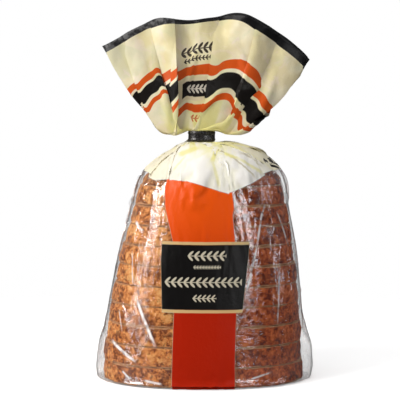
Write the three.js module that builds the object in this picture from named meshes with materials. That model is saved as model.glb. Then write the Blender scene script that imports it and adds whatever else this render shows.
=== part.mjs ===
// A half loaf of sliced wholemeal bread in its tied film bag.
//
// The loaf was baked whole and cut in two. It stands on the cut face, so its slices lie flat
// one on another and get smaller towards the rounded heel at the top. The domed crust of every
// slice faces -Y, the front, and the flatter oven-side crust faces +Y. The film bag stands on
// the same floor, follows the loaf, closes over it in a shoulder, is gathered by a flat tie at
// the neck, and fans out above the tie to its open mouth.
//
// Millimetres, +Z up. The origin is the middle of the base of the whole object's box.
import * as THREE from 'three';
import { mergeVertices } from 'three/addons/utils/BufferGeometryUtils.js';

// ---- The loaf ----
const SLICE_COUNT = 11;
const SLICE_PITCH = 13.2; // one slice and the cut beside it
const CUT = 0.35; // clear space that the cut leaves
const LOAF_HALF_WIDTH = 66; // at the cut face
const LOAF_FRONT = 44; // from the middle of the cut face to the domed crust
const LOAF_BACK = 40; // from the middle of the cut face to the oven-side crust
const TAPER_HEIGHT = 120; // the loaf has lost the three amounts below at this height
const WIDTH_TAPER = 16;
const FRONT_TAPER = 9;
const BACK_TAPER = 7;
const TAPER_POWER = 1.6;
const LEAN = 6; // how far the top slices stand to the right of the lowest
const LEAN_HEIGHT = 141;
const LEAN_POWER = 1.4;
const DOME_POWER = 2 / 2.3; // section exponent of the domed crust
const OVEN_SIDE_POWER = 2 / 3.2; // section exponent of the flatter crust
const CRUST_ROUND = 1.1; // rounding of a slice's rim
const HEEL_SHARE = 0.95; // the heel is this much smaller than the slice under it

// ---- The bag ----
const FILM = 0.6; // wall of the bag solid
const FILM_CLEARANCE = 2.3; // from the crust to the outside of the film
const BASE_ROUND = 3; // rounding between the base and the side of the bag
const RIGHT_EAR = 6; // how far the folded base corner stands out on the right
const LEFT_EAR = 3;
const EAR_HEIGHT = 36;
const EAR_WIDTH = 0.3; // as the sine of the angle round the bag
const SHOULDER_START = 119; // height at which the film leaves the loaf
const SHOULDER_END = 161; // height at which it reaches the neck
const SHOULDER_POWER = 2.2;
const SHOULDER_ROOT = 2.1;
const SHOULDER_CENTRING = 0.35; // how late the shoulder's middle crosses from loaf to neck
const NECK_X = -1; // the neck's own middle, beside the middle of the cut face
const NECK_HALF_WIDTH = 8;
const NECK_HALF_DEPTH = 5.2;
const NECK_WALL = 3.7; // the bunched film leaves only a narrow slit
const NECK_TOP = 168.8;
const MOUTH_X = 3.5;
const MOUTH_HALF_WIDTH = 70.5;
const MOUTH_HALF_DEPTH = 10;
const MOUTH_HEIGHT = 247; // at the middle of the mouth
const MOUTH_DROP = 26; // how much lower its two corners are, on average
const MOUTH_SKEW = 6; // how much lower the right corner is than that average
const FAN_SPREAD_POWER = 0.62; // the fan spreads quickly at first,
const FAN_RISE_POWER = 1.5; // and rises slowly at first

// ---- The tie ----
const TIE_BOTTOM = 161.4;
const TIE_HEIGHT = 7.2;
const TIE_THICKNESS = 0.8;
const TIE_CLEARANCE = 0.4; // between the gathered film and the tie
const TIE_TAIL_LENGTH = 13; // the two ends, folded together at the back
const TIE_TAIL_HALF_THICKNESS = 0.8;

// ---- Steps round and along the skins ----
const SLICE_STEPS = 40;
const BAG_STEPS = 48;
const HEEL_STEPS = 7;
const TIE_STEPS = 20;

const signedPower = (value, power) => Math.sign(value) * Math.abs(value) ** power;

// The loaf's section at a height: half its width, its depth to the front and to the back, and
// how far its middle stands to the right.
function loafSection(height) {
  const taper = (Math.max(height, 0) / TAPER_HEIGHT) ** TAPER_POWER;
  return {
    halfWidth: LOAF_HALF_WIDTH - WIDTH_TAPER * taper,
    front: LOAF_FRONT - FRONT_TAPER * taper,
    back: LOAF_BACK - BACK_TAPER * taper,
    middleX: LEAN * (Math.max(height, 0) / LEAN_HEIGHT) ** LEAN_POWER,
  };
}

// A point of a section's outline: domed on the front (-Y), flatter on the back (+Y).
function outline(section, angle) {
  const power = Math.sin(angle) < 0 ? DOME_POWER : OVEN_SIDE_POWER;
  const depth = Math.sin(angle) < 0 ? section.front : section.back;
  return new THREE.Vector2(
    section.middleX + section.halfWidth * signedPower(Math.cos(angle), power),
    depth * signedPower(Math.sin(angle), power),
  );
}

// A lathe supplies one closed skin, and place() moves each of its vertices. The lathe turns
// about three.js's own Y axis, and its height becomes +Z here.
function closedSkin(profile, steps, place) {
  const lathe = new THREE.LatheGeometry(profile, steps);
  lathe.deleteAttribute('normal');
  lathe.deleteAttribute('uv');
  const position = lathe.getAttribute('position');
  for (let i = 0; i < position.count; i += 1) {
    const radius = Math.hypot(position.getX(i), position.getZ(i));
    const angle = Math.atan2(-position.getZ(i), position.getX(i));
    const placed = place(radius, angle, position.getY(i));
    position.setXYZ(i, placed.x, placed.y, placed.z);
  }
  return mergeVertices(lathe, 1e-4);
}

// ---- Slices ----
// A slice's profile is its radius, as a share of the loaf's outline, against its own height.
function sliceProfile(thickness) {
  const rim = 1 - CRUST_ROUND / LOAF_HALF_WIDTH;
  return [
    new THREE.Vector2(0, 0),
    new THREE.Vector2(rim, 0),
    new THREE.Vector2(1, CRUST_ROUND),
    new THREE.Vector2(1, thickness - CRUST_ROUND),
    new THREE.Vector2(rim, thickness),
    new THREE.Vector2(0, thickness),
  ];
}

// The heel is cut flat below and rounds over to a point of the axis above.
function heelProfile(thickness) {
  const dome = [];
  for (let i = 0; i <= HEEL_STEPS; i += 1) {
    const turn = (Math.PI / 2) * (i / HEEL_STEPS);
    dome.push(
      new THREE.Vector2(
        HEEL_SHARE * Math.cos(turn) ** 0.8,
        CRUST_ROUND + (thickness - CRUST_ROUND) * Math.sin(turn) ** 0.9,
      ),
    );
  }
  dome[HEEL_STEPS].x = 0;
  const rim = HEEL_SHARE * (1 - CRUST_ROUND / LOAF_HALF_WIDTH);
  return [new THREE.Vector2(0, 0), new THREE.Vector2(rim, 0), ...dome];
}

function breadSlice(number) {
  const base = FILM + CUT + (number - 1) * SLICE_PITCH;
  const isHeel = number === SLICE_COUNT;
  const thickness = SLICE_PITCH - CUT;
  const profile = isHeel ? heelProfile(thickness) : sliceProfile(thickness);
  const geometry = closedSkin(profile, SLICE_STEPS, (radius, angle, height) => {
    const edge = outline(loafSection(base + height), angle);
    const middle = loafSection(base + height).middleX;
    return new THREE.Vector3(middle + radius * (edge.x - middle), radius * edge.y, height);
  });
  const crust = new THREE.MeshStandardMaterial({
    color: isHeel ? '#9a5a2c' : '#b8773f',
    roughness: 0.85,
    metalness: 0,
  });
  const slice = new THREE.Mesh(geometry, crust);
  slice.name = isHeel ? 'heel_slice' : `slice_${String(number).padStart(2, '0')}`;
  // Cut slices never stack quite true.
  slice.position.set(0.5 * Math.sin(2.4 * number), 0.45 * Math.cos(1.7 * number), base);
  slice.rotation.z = THREE.MathUtils.degToRad(0.5 * Math.sin(4.1 * number));
  return slice;
}

// ---- Bag ----
// The loaf's section grown by the clearance, with the folded base corners standing out.
function bagSection(height) {
  const section = loafSection(height);
  section.halfWidth += FILM_CLEARANCE;
  section.front += FILM_CLEARANCE;
  section.back += FILM_CLEARANCE;
  return section;
}

function earReach(height, angle) {
  const fade = Math.max(0, 1 - height / EAR_HEIGHT) ** 0.7;
  const narrow = Math.exp(-((Math.sin(angle) / EAR_WIDTH) ** 2));
  return (Math.cos(angle) > 0 ? RIGHT_EAR : -LEFT_EAR) * fade * narrow;
}

// A ring of the bag is a function from the angle round it to a point.
const baseRing = (scale, height) => (angle) => {
  const edge = outline(bagSection(0), angle);
  return new THREE.Vector3(scale * (edge.x + earReach(0, angle)), scale * edge.y, height);
};

const wallRing = (height) => (angle) => {
  const edge = outline(bagSection(height), angle);
  return new THREE.Vector3(edge.x + earReach(height, angle), edge.y, height);
};

const neckEllipse = (angle, inset = 0) =>
  new THREE.Vector2(
    NECK_X + (NECK_HALF_WIDTH - inset) * Math.cos(angle),
    (NECK_HALF_DEPTH - inset) * Math.sin(angle),
  );

// Over the loaf the section shrinks to the neck's ellipse, like the top of a dome. Its middle
// keeps to the loaf's lean, and crosses to the neck only near the top.
const shoulderRing = (rise) => (angle) => {
  const open = (1 - rise ** SHOULDER_POWER) ** (1 / SHOULDER_ROOT);
  const height = THREE.MathUtils.lerp(SHOULDER_START, SHOULDER_END, rise);
  const section = bagSection(SHOULDER_START);
  const edge = outline(section, angle);
  edge.x -= section.middleX;
  const point = neckEllipse(angle);
  point.x -= NECK_X;
  point.lerp(edge, open);
  const { middleX } = loafSection(height);
  point.x += THREE.MathUtils.lerp(NECK_X, middleX, open ** SHOULDER_CENTRING);
  return new THREE.Vector3(point.x, point.y, height);
};

const neckRing = (height) => (angle, inset) => {
  const point = neckEllipse(angle, inset);
  return new THREE.Vector3(point.x, point.y, height);
};

// Above the tie the film spreads into a flat fan whose mouth is highest in the middle.
const fanRing = (along) => (angle) => {
  const neck = neckEllipse(angle);
  const side = Math.cos(angle);
  const mouth = new THREE.Vector3(
    MOUTH_X + MOUTH_HALF_WIDTH * side,
    MOUTH_HALF_DEPTH * Math.sin(angle),
    MOUTH_HEIGHT - (MOUTH_DROP + MOUTH_SKEW * side) * side ** 2,
  );
  return new THREE.Vector3(
    THREE.MathUtils.lerp(neck.x, mouth.x, along ** FAN_SPREAD_POWER),
    THREE.MathUtils.lerp(neck.y, mouth.y, along),
    THREE.MathUtils.lerp(NECK_TOP, mouth.z, along ** FAN_RISE_POWER),
  );
};

const BASE_RIM = 1 - BASE_ROUND / LOAF_HALF_WIDTH;
const NECK_RINGS = [SHOULDER_END, NECK_TOP].map(neckRing);
const BAG_RINGS = [
  baseRing(0, 0),
  baseRing(0.5, 0),
  baseRing(BASE_RIM, 0),
  baseRing(1 - 0.3 * (1 - BASE_RIM), 0.3 * BASE_ROUND),
  ...[3, 12, 24, 36, 52, 70, 88, 104].map(wallRing),
  ...[0, 0.25, 0.45, 0.62, 0.76, 0.87, 0.94, 0.98].map(shoulderRing),
  ...NECK_RINGS,
  ...[0.05, 0.13, 0.24, 0.4, 0.6, 0.8, 1].map(fanRing),
];

// The outward direction of the bag's outer skin, from its neighbouring rings and angles.
function outward(index, angle) {
  if (index === 0) return new THREE.Vector3(0, 0, -1);
  const turn = Math.PI / BAG_STEPS;
  const round = BAG_RINGS[index](angle + turn).sub(BAG_RINGS[index](angle - turn));
  const above = BAG_RINGS[Math.min(index + 1, BAG_RINGS.length - 1)](angle);
  const along = above.sub(BAG_RINGS[index - 1](angle));
  return round.cross(along).normalize();
}

// The inner skin is one wall in from the outer one, and further in where the neck is bunched.
function innerPoint(index, angle) {
  const ring = BAG_RINGS[index];
  if (NECK_RINGS.includes(ring)) return ring(angle, NECK_WALL);
  return ring(angle).addScaledVector(outward(index, angle), -FILM);
}

// The skin runs up the outside of the bag, over the rim of its mouth and down the inside.
function filmBag() {
  const last = BAG_RINGS.length - 1;
  const profile = [];
  for (let step = 0; step <= 2 * last + 1; step += 1) {
    const isPole = step === 0 || step === 2 * last + 1;
    profile.push(new THREE.Vector2(isPole ? 0 : 1, step));
  }
  const geometry = closedSkin(profile, BAG_STEPS, (radius, angle, step) => {
    const isOutside = step <= last;
    return isOutside ? BAG_RINGS[step](angle) : innerPoint(2 * last + 1 - step, angle);
  });
  const film = new THREE.MeshStandardMaterial({
    color: '#f1e9c4',
    roughness: 0.25,
    metalness: 0,
  });
  const bag = new THREE.Mesh(geometry, film);
  bag.name = 'film_bag';
  return bag;
}

// ---- Tie ----
// A flat strip wrapped round the neck, its two ends pressed together at the back.
function neckTie() {
  const holeWidth = NECK_HALF_WIDTH + TIE_CLEARANCE;
  const holeDepth = NECK_HALF_DEPTH + TIE_CLEARANCE;
  const width = holeWidth + TIE_THICKNESS;
  const depth = holeDepth + TIE_THICKNESS;
  const tailEnd = depth + TIE_TAIL_LENGTH;
  const tailAngle = Math.acos(TIE_TAIL_HALF_THICKNESS / width);
  const strip = new THREE.Shape();
  strip.moveTo(-TIE_TAIL_HALF_THICKNESS, tailEnd);
  strip.absellipse(0, 0, width, depth, Math.PI - tailAngle, tailAngle, false);
  strip.lineTo(TIE_TAIL_HALF_THICKNESS, tailEnd);
  strip.closePath();
  strip.holes.push(
    new THREE.Path().absellipse(0, 0, holeWidth, holeDepth, 0, 2 * Math.PI, true),
  );
  const geometry = new THREE.ExtrudeGeometry(strip, {
    depth: TIE_HEIGHT,
    curveSegments: TIE_STEPS,
    bevelEnabled: false,
  });
  const plastic = new THREE.MeshStandardMaterial({
    color: '#141312',
    roughness: 0.4,
    metalness: 0,
  });
  const tie = new THREE.Mesh(geometry, plastic);
  tie.name = 'neck_tie';
  tie.position.set(NECK_X, 0, TIE_BOTTOM);
  return tie;
}

// ---- The whole object, moved so that the origin is the middle of its box's base ----
const baggedLoaf = new THREE.Group();
for (let number = 1; number <= SLICE_COUNT; number += 1) {
  baggedLoaf.add(breadSlice(number));
}
baggedLoaf.add(filmBag());
baggedLoaf.add(neckTie());

const box = new THREE.Box3().setFromObject(baggedLoaf, true);
baggedLoaf.position.set(
  -(box.min.x + box.max.x) / 2,
  -(box.min.y + box.max.y) / 2,
  -box.min.z,
);

export default baggedLoaf;
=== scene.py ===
# %% [markdown]
# # A tied bag of sliced wholemeal bread
#
# Half a wholemeal loaf stands on its cut face in a printed film bag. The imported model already
# holds eleven plain slices, a plain bag and a plain tie at their real sizes. This lesson gives
# each of them its real surface: rough baked crust, open crumb, thin folded film with its
# printing, and a ribbed plastic tie. Everything is in metres, with +Z up and the domed crust
# of the loaf towards -Y.

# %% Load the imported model
import math

import bmesh
import bpy
import numpy as np
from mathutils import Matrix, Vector, noise


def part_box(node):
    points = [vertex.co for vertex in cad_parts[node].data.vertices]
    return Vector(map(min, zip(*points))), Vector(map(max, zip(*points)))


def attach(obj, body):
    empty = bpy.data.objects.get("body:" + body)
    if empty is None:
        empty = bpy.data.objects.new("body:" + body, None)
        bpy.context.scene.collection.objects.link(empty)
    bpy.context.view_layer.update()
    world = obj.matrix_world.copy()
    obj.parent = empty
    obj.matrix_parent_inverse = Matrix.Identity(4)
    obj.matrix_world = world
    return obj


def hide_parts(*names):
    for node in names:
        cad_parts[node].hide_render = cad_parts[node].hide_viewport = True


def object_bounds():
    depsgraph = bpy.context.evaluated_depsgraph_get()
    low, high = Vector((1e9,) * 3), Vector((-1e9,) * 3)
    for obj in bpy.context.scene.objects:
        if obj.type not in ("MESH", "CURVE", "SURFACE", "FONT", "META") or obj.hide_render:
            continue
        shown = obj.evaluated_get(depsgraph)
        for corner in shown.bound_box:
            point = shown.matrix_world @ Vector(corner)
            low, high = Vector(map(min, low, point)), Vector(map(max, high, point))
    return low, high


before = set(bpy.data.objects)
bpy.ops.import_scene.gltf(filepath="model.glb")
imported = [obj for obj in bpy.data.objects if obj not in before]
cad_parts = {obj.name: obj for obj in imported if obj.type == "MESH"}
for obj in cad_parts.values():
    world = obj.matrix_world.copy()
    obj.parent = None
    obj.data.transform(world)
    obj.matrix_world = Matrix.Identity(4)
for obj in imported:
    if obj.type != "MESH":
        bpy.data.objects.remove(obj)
cad_low, cad_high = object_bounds()
MM = 0.001
print("CAD box in mm:", [round(x / MM, 1) for x in (*cad_low, *cad_high)])

# %% [markdown]
# ## The camera
#
# The bag is seen straight from the front and from a little above, far enough away that its
# sides hardly converge. The lens could be found by trial. Here it is worked out from the
# height that the picture has to hold, so the framing can be changed by one number.

# %% Camera
CAMERA_DISTANCE = 0.9
CAMERA_RISE = math.radians(4.5)
LOOK_AT = Vector((-0.0036, 0, 0.1217))
PICTURE_HEIGHT = 0.272
SENSOR_MM = 36

camera = bpy.data.objects.new("camera", bpy.data.cameras.new("camera"))
bpy.context.scene.collection.objects.link(camera)
bpy.context.scene.camera = camera
camera.data.sensor_width = SENSOR_MM
camera.data.lens = SENSOR_MM * CAMERA_DISTANCE / PICTURE_HEIGHT
back = Vector((0, -math.cos(CAMERA_RISE), math.sin(CAMERA_RISE)))
camera.location = LOOK_AT + back * CAMERA_DISTANCE
camera.rotation_euler = (-back).to_track_quat("-Z", "Y").to_euler()
print("lens", round(camera.data.lens, 1), "mm")

# %% [markdown]
# ## The loaf's outline
#
# Bread and bag both follow one outline: a wide domed crust at the front and a flatter
# oven-side crust at the back. It could be drawn again by hand, but then bag and bread would
# drift apart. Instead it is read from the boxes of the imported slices, with a cubic through
# all of them, and turned into a superellipse, whose power says how square its corners are.

# %% Outline of the loaf at a height
SLICE_NODES = sorted(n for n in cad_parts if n.startswith("slice_")) + ["heel_slice"]
MIDDLE_Y = 0.002
DOME_POWER = 2 / 2.3
OVEN_SIDE_POWER = 2 / 3.2
# The stack bellies a little at two heights, further than straight boxes tell.
SWELL_HEIGHTS = (0.085, 0.14)
LEFT_SWELL = (2.2 * MM, -0.8 * MM)
RIGHT_SWELL = (1.6 * MM, 1.2 * MM)

boxes = [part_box(name) for name in SLICE_NODES[:-1]]
HEIGHTS = np.array([low.z for low, high in boxes])


def smoothed(values):
    """A straight-laid stack: each slice's value with a cubic through all of them."""
    return np.polyval(np.polyfit(HEIGHTS, values, 3), HEIGHTS)


LEFT = smoothed([low.x for low, high in boxes])
RIGHT = smoothed([high.x for low, high in boxes])
FRONT = smoothed([MIDDLE_Y - low.y for low, high in boxes])
BACK = smoothed([high.y - MIDDLE_Y for low, high in boxes])


def extend(values, height):
    """Reads a smoothed value at any height, and goes on straight past the top."""
    if height > HEIGHTS[-1]:
        slope = (values[-1] - values[-2]) / (HEIGHTS[-1] - HEIGHTS[-2])
        return values[-1] + slope * (height - HEIGHTS[-1])
    return float(np.interp(height, HEIGHTS, values))


def section(height, grow=0.0):
    """Left, right, front and back reach of the loaf at a height, grown by a clearance."""
    left = extend(LEFT, height) - grow - float(np.interp(height, SWELL_HEIGHTS, LEFT_SWELL))
    right = extend(RIGHT, height) + grow + float(np.interp(height, SWELL_HEIGHTS, RIGHT_SWELL))
    return left, right, extend(FRONT, height) + grow, extend(BACK, height) + grow


def signed_power(values, power):
    return np.sign(values) * np.abs(values) ** power


def outline(reaches, angle):
    """Points of the section's outline. Angle 0 is +X and a quarter turn is +Y."""
    left, right, front, rear = reaches
    middle, half = (left + right) / 2, (right - left) / 2
    at_back = np.sin(angle) > 0
    power = np.where(at_back, OVEN_SIDE_POWER, DOME_POWER)
    depth = np.where(at_back, rear, front)
    x = middle + half * signed_power(np.cos(angle), power)
    y = MIDDLE_Y + depth * signed_power(np.sin(angle), power)
    return x, y


print("loaf is", round((RIGHT[0] - LEFT[0]) / MM), "mm wide at the cut face")

# %% [markdown]
# ## Growing a skin ring by ring
#
# A slice, a bag and a tie are all skins round one axis. Such a skin could be typed in as
# lists of vertices and faces, or sculpted. The quickest honest way is to start from one ring
# of edges, extrude it again and again, and put every new ring where it belongs. The extrude
# operator makes all the faces, so only the places have to be worked out.

# %% Ring helpers
def start_ring(bm, place, close):
    """Makes the first ring, closed by a fan of triangles if close is set."""
    made = bmesh.ops.create_circle(bm, cap_ends=close, cap_tris=True, segments=len(place), radius=1)
    hub = [v for v in made["verts"] if v.co.length < 0.5]
    ring = [v for v in made["verts"] if v.co.length >= 0.5]
    ring.sort(key=lambda v: math.atan2(v.co.y, v.co.x) % (2 * math.pi))
    for vert, point in zip(ring, place):
        vert.co = point
    for vert in hub:
        vert.co = sum((v.co for v in ring), Vector()) / len(ring)
    return ring


def next_ring(bm, ring, place):
    """Extrudes a ring and puts the new vertices in place, in the same order."""
    steps = len(ring)
    edges = [bm.edges.get((ring[i], ring[(i + 1) % steps])) for i in range(steps)]
    made = bmesh.ops.extrude_edge_only(bm, edges=edges)
    fresh = {g for g in made["geom"] if isinstance(g, bmesh.types.BMVert)}
    above = []
    for vert, point in zip(ring, place):
        new = next(e.other_vert(vert) for e in vert.link_edges if e.other_vert(vert) in fresh)
        new.co = point
        above.append(new)
    return above


def add_ring(bm, ring, place, close=True):
    """The next ring of a skin, or its first one while there is none."""
    if ring is None:
        return start_ring(bm, place, close)
    return next_ring(bm, ring, place)


def close_ring(bm, ring):
    """Closes the last ring with a fan of triangles to its middle."""
    face = bm.faces.new(ring)
    bmesh.ops.poke(bm, faces=[face])


def finish_mesh(bm, name, smooth=True):
    """Turns a bmesh into an object at the origin."""
    bmesh.ops.recalc_face_normals(bm, faces=bm.faces)
    mesh = bpy.data.meshes.new(name)
    bm.to_mesh(mesh)
    bm.free()
    mesh.polygons.foreach_set("use_smooth", [smooth] * len(mesh.polygons))
    thing = bpy.data.objects.new(name, mesh)
    bpy.context.scene.collection.objects.link(thing)
    return thing


print("a skin can be started, grown and closed")

# %% [markdown]
# ## The slices
#
# Each slice is a disc with a rough rim. The rim is crust: it bulges a little between its two
# cuts, has a bran-rough surface, and its edges crumble where the blade went through. The two
# faces are crumb, a fine sponge with irregular pores. A slice could be a flat prism with a
# bump map, but the crumbling edge is what makes the stack look like bread, so pores and
# crumbling are moved into the mesh itself.

# %% Roughness of crust and crumb
CRUST_ROUGHNESS = 0.75 * MM
PIT_DEPTH = 1.8 * MM
CHIP = 2.4 * MM
PORE_DEPTH = 0.9 * MM


def crumble(point, seed):
    """How far a crust point stands out or in, in metres."""
    here = Vector(point) / MM + Vector((seed * 37.0, seed * 11.0, 0))
    coarse = noise.fractal(here / 9.0, 0.9, 2.0, 4)
    fine = noise.fractal(here / 2.6, 0.8, 2.1, 3)
    pit = max(0.0, noise.noise(here / 2.1) - 0.22)
    return CRUST_ROUGHNESS * (0.7 * coarse + 0.8 * fine) - PIT_DEPTH * pit


def chip(point, seed, lower):
    """How deep crumbs broke off a cut edge here, in metres. Some stretches stayed whole."""
    cut = seed * 5.0 + (2.5 if lower else 0)
    here = Vector((point[0], point[1], 0)) / MM / 7.0 + Vector((0, 0, cut))
    broken = max(0.0, noise.fractal(here, 0.7, 2.0, 3) - 0.12)
    return CHIP * min(broken * 1.6, 1.0)


def pore(point, seed):
    """How deep a crumb point lies under the cut face, in metres."""
    here = Vector(point) / MM + Vector((seed * 29.0, 0, seed * 17.0))
    big = max(0.0, noise.noise(here / 3.4) - 0.18)
    small = max(0.0, noise.noise(here / 1.5) - 0.1)
    return PORE_DEPTH * (1.9 * big + 0.9 * small)


print("cut edges lose up to", CHIP / MM, "mm of crumbs")

# %% Shape of a slice
RIM_STEPS = 232
EDGE_ROUND = 0.35 * MM
EDGE_TURNS = (0.0, 0.33, 0.67, 1.0)
PALE_EDGE = 1.9 * MM
CHIPPED_EDGE = 2.6 * MM
CHIP_FADE = 3.2 * MM
CUT_FILL = 0.25 * MM
RIM_BULGE = 0.5 * MM
FACE_SHARES = (0.05, 0.14, 0.25, 0.36, 0.47, 0.57, 0.66, 0.74, 0.81, 0.87, 0.92, 0.955)
SIDE_STEPS = 9
RIM_ANGLES = np.linspace(0, 2 * math.pi, RIM_STEPS, endpoint=False)


def rim_profile(thickness):
    """(share of the outline, inset, height, side) of each ring, from the lower face's middle up."""
    lower = [(share, 0.0, 0.0, 0.0) for share in FACE_SHARES]
    for turn in EDGE_TURNS:
        bend = turn * math.pi / 2
        inset = EDGE_ROUND * (1 - math.sin(bend))
        lower.append((1.0, inset, EDGE_ROUND * (1 - math.cos(bend)), math.sin(bend)))
    for i in range(1, SIDE_STEPS // 2 + 1):
        height = EDGE_ROUND + (thickness - 2 * EDGE_ROUND) * i / SIDE_STEPS
        lower.append((1.0, 0.0, height, 1.0))
    upper = [(s, i, thickness - h, side) for s, i, h, side in reversed(lower)]
    return lower + upper


def slice_rings(base, thickness, shift):
    """Every ring of one slice as (points, side value, share, height), still smooth."""
    rings = []
    for share, inset, height, side in rim_profile(thickness):
        reaches = section(base + height)
        bulge = RIM_BULGE * math.sin(math.pi * height / thickness) * side
        grown = tuple(r - s * inset + s * bulge for r, s in zip(reaches, (-1, 1, 1, 1)))
        x, y = outline(grown, RIM_ANGLES)
        middle = (reaches[0] + reaches[1]) / 2
        x = middle + share * (x - middle) + shift[0]
        y = MIDDLE_Y + share * (y - MIDDLE_Y) + shift[1]
        rings.append((np.stack([x, y, np.full_like(x, base + height)], 1), side, share, height))
    return rings


def rim_depth(point, number, side, from_cut, lower):
    """How far a rim point stands out: rough crust, less what broke off beside the cut."""
    stands_out = crumble(point, number) * (0.35 + 0.65 * side)
    if from_cut < CHIPPED_EDGE:
        towards_left = min(max(0.3 - point[0] / 0.06, 0.1), 1.0)
        stands_out -= chip(point, number, lower) * towards_left * (1 - from_cut / CHIP_FADE)
    return stands_out


def bread_slice(name, number):
    """One cut slice with its crumbled rim and its porous faces."""
    low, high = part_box(name)
    thickness = high.z - low.z + CUT_FILL
    shift = (0.45 * MM * math.sin(2.4 * number), 0.4 * MM * math.cos(1.7 * number))
    bm = bmesh.new()
    rim_layer = bm.verts.layers.float.new("rim")
    ring = None
    for points, side, share, height in slice_rings(low.z, thickness, shift):
        middle = points.mean(0)
        from_cut = min(height, thickness - height)
        lower = height < thickness / 2
        placed = []
        for point in points:
            moved = Vector(point)
            if share == 1.0:
                out = Vector((point[0] - middle[0], point[1] - middle[1], 0)).normalized()
                moved += out * rim_depth(point, number, side, from_cut, lower)
            sink = pore(point, number) * (1 - side)
            moved.z += sink if lower else -sink
            placed.append(moved)
        ring = add_ring(bm, ring, placed)
        for vert in ring:
            vert[rim_layer] = min(1.0, from_cut / PALE_EDGE) if share == 1.0 else 0.0
    close_ring(bm, ring)
    return finish_mesh(bm, "bread_" + name)


print(len(rim_profile(boxes[0][1].z)), "rings of", RIM_STEPS, "points make one slice")

# %% [markdown]
# ## The heel
#
# The heel is the loaf's rounded end. It is cut below and crust all over the rest. It could be
# half a ball pressed to shape. Growing it like the slices keeps its cut face in line with
# theirs: only its profile climbs a dome instead of a straight rim.

# %% Shape of the heel
HEEL_RINGS = 26
HEEL_FULLNESS = 1.07
HEEL_SQUARENESS = 0.5
HEEL_SINK = 0.6 * MM
HEEL_SEED = 12


def heel_profile(height):
    """(share of the outline, rise, side) of each ring of the heel."""
    profile = [(share, 0.0, 0.0) for share in FACE_SHARES]
    for i in range(HEEL_RINGS):
        turn = math.pi / 2 * i / HEEL_RINGS
        rise = EDGE_ROUND + (height - EDGE_ROUND) * math.sin(turn) ** 0.9
        profile.append((math.cos(turn) ** HEEL_SQUARENESS, rise, 1.0))
    return profile


def heel_slice(name):
    """The domed end of the loaf: cut face below, baked crust above."""
    low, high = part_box(name)
    reaches = section(low.z)
    half = (high.x - low.x) / 2
    shrink = HEEL_FULLNESS * half / ((reaches[1] - reaches[0]) / 2)
    middle = (low.x + high.x) / 2
    across, deep = outline(reaches, RIM_ANGLES)
    bm = bmesh.new()
    rim_layer = bm.verts.layers.float.new("rim")
    ring = None
    for share, rise, side in heel_profile(high.z - low.z):
        x = middle + shrink * share * (across - (reaches[0] + reaches[1]) / 2)
        y = MIDDLE_Y + shrink * share * (deep - MIDDLE_Y)
        placed = []
        for px, py in zip(x, y):
            point = Vector((px, py, low.z + rise))
            out = Vector((px - middle, py - MIDDLE_Y, 2.5 * rise)).normalized()
            point += out * (crumble(point, HEEL_SEED) * side - HEEL_SINK * side)
            point.z += pore(point, HEEL_SEED) * (1 - side)
            placed.append(point)
        ring = add_ring(bm, ring, placed)
        for vert in ring:
            vert[rim_layer] = side
    close_ring(bm, ring)
    return finish_mesh(bm, "bread_" + name)


print("heel climbs in", HEEL_RINGS, "rings")

# %% [markdown]
# ## The stack
#
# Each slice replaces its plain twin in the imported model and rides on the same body. The
# slices could be joined into one mesh, but they are cut through on the real loaf, so they
# stay eleven pieces that can be taken out one by one.

# %% Bake the whole stack
stack = []
for number, name in enumerate(SLICE_NODES, 1):
    piece = heel_slice(name) if name == "heel_slice" else bread_slice(name, number)
    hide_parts(name)
    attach(piece, "root")
    stack.append(piece)
print(len(stack), "slices,", sum(len(p.data.polygons) for p in stack), "faces")

# %% [markdown]
# ## Node helpers
#
# Finishes are built from nodes that sum, compare and mix. They could be placed and linked one
# by one, which hides the idea in wiring. Here one class holds a node tree and short methods
# for the few sums that every finish below needs, for materials and for the surround alike.

# %% Node helpers
class Nodes:
    """The node tree of a material or a world, and short ways to add nodes to it."""

    def __init__(self, owner):
        owner.use_nodes = True
        self.owner = owner
        self.tree = owner.node_tree
        self.tree.nodes.clear()

    def node(self, kind, **settings):
        made = self.tree.nodes.new("ShaderNode" + kind)
        for name, value in settings.items():
            setattr(made, name, value)
        return made

    def feed(self, socket, value):
        """Links a socket to another one, or sets it to a plain number or colour."""
        if isinstance(value, bpy.types.NodeSocket):
            self.tree.links.new(value, socket)
        elif isinstance(value, tuple) and len(value) == 3 and socket.type == "RGBA":
            socket.default_value = (*value, 1)
        else:
            socket.default_value = value

    def made_of(self, kind, **inputs):
        """A node's first output, with its inputs linked or set by name."""
        made = self.node(kind)
        for name, value in inputs.items():
            self.feed(made.inputs[name.replace("_", " ")], value)
        return made.outputs[0]

    def parts(self, vector):
        """The X, Y and Z sockets of a vector."""
        made = self.node("SeparateXYZ")
        self.feed(made.inputs[0], vector)
        return made.outputs

    def blend(self, share, below, above):
        """Mixes two shaders."""
        made = self.node("MixShader")
        for socket, value in zip(made.inputs, (share, below, above)):
            self.feed(socket, value)
        return made.outputs[0]

    def surface(self, shader, kind="OutputMaterial"):
        """Ends the tree with a shader and gives back its material or world."""
        self.feed(self.node(kind).inputs["Surface"], shader)
        return self.owner


print("a node tree can be started")


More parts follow.
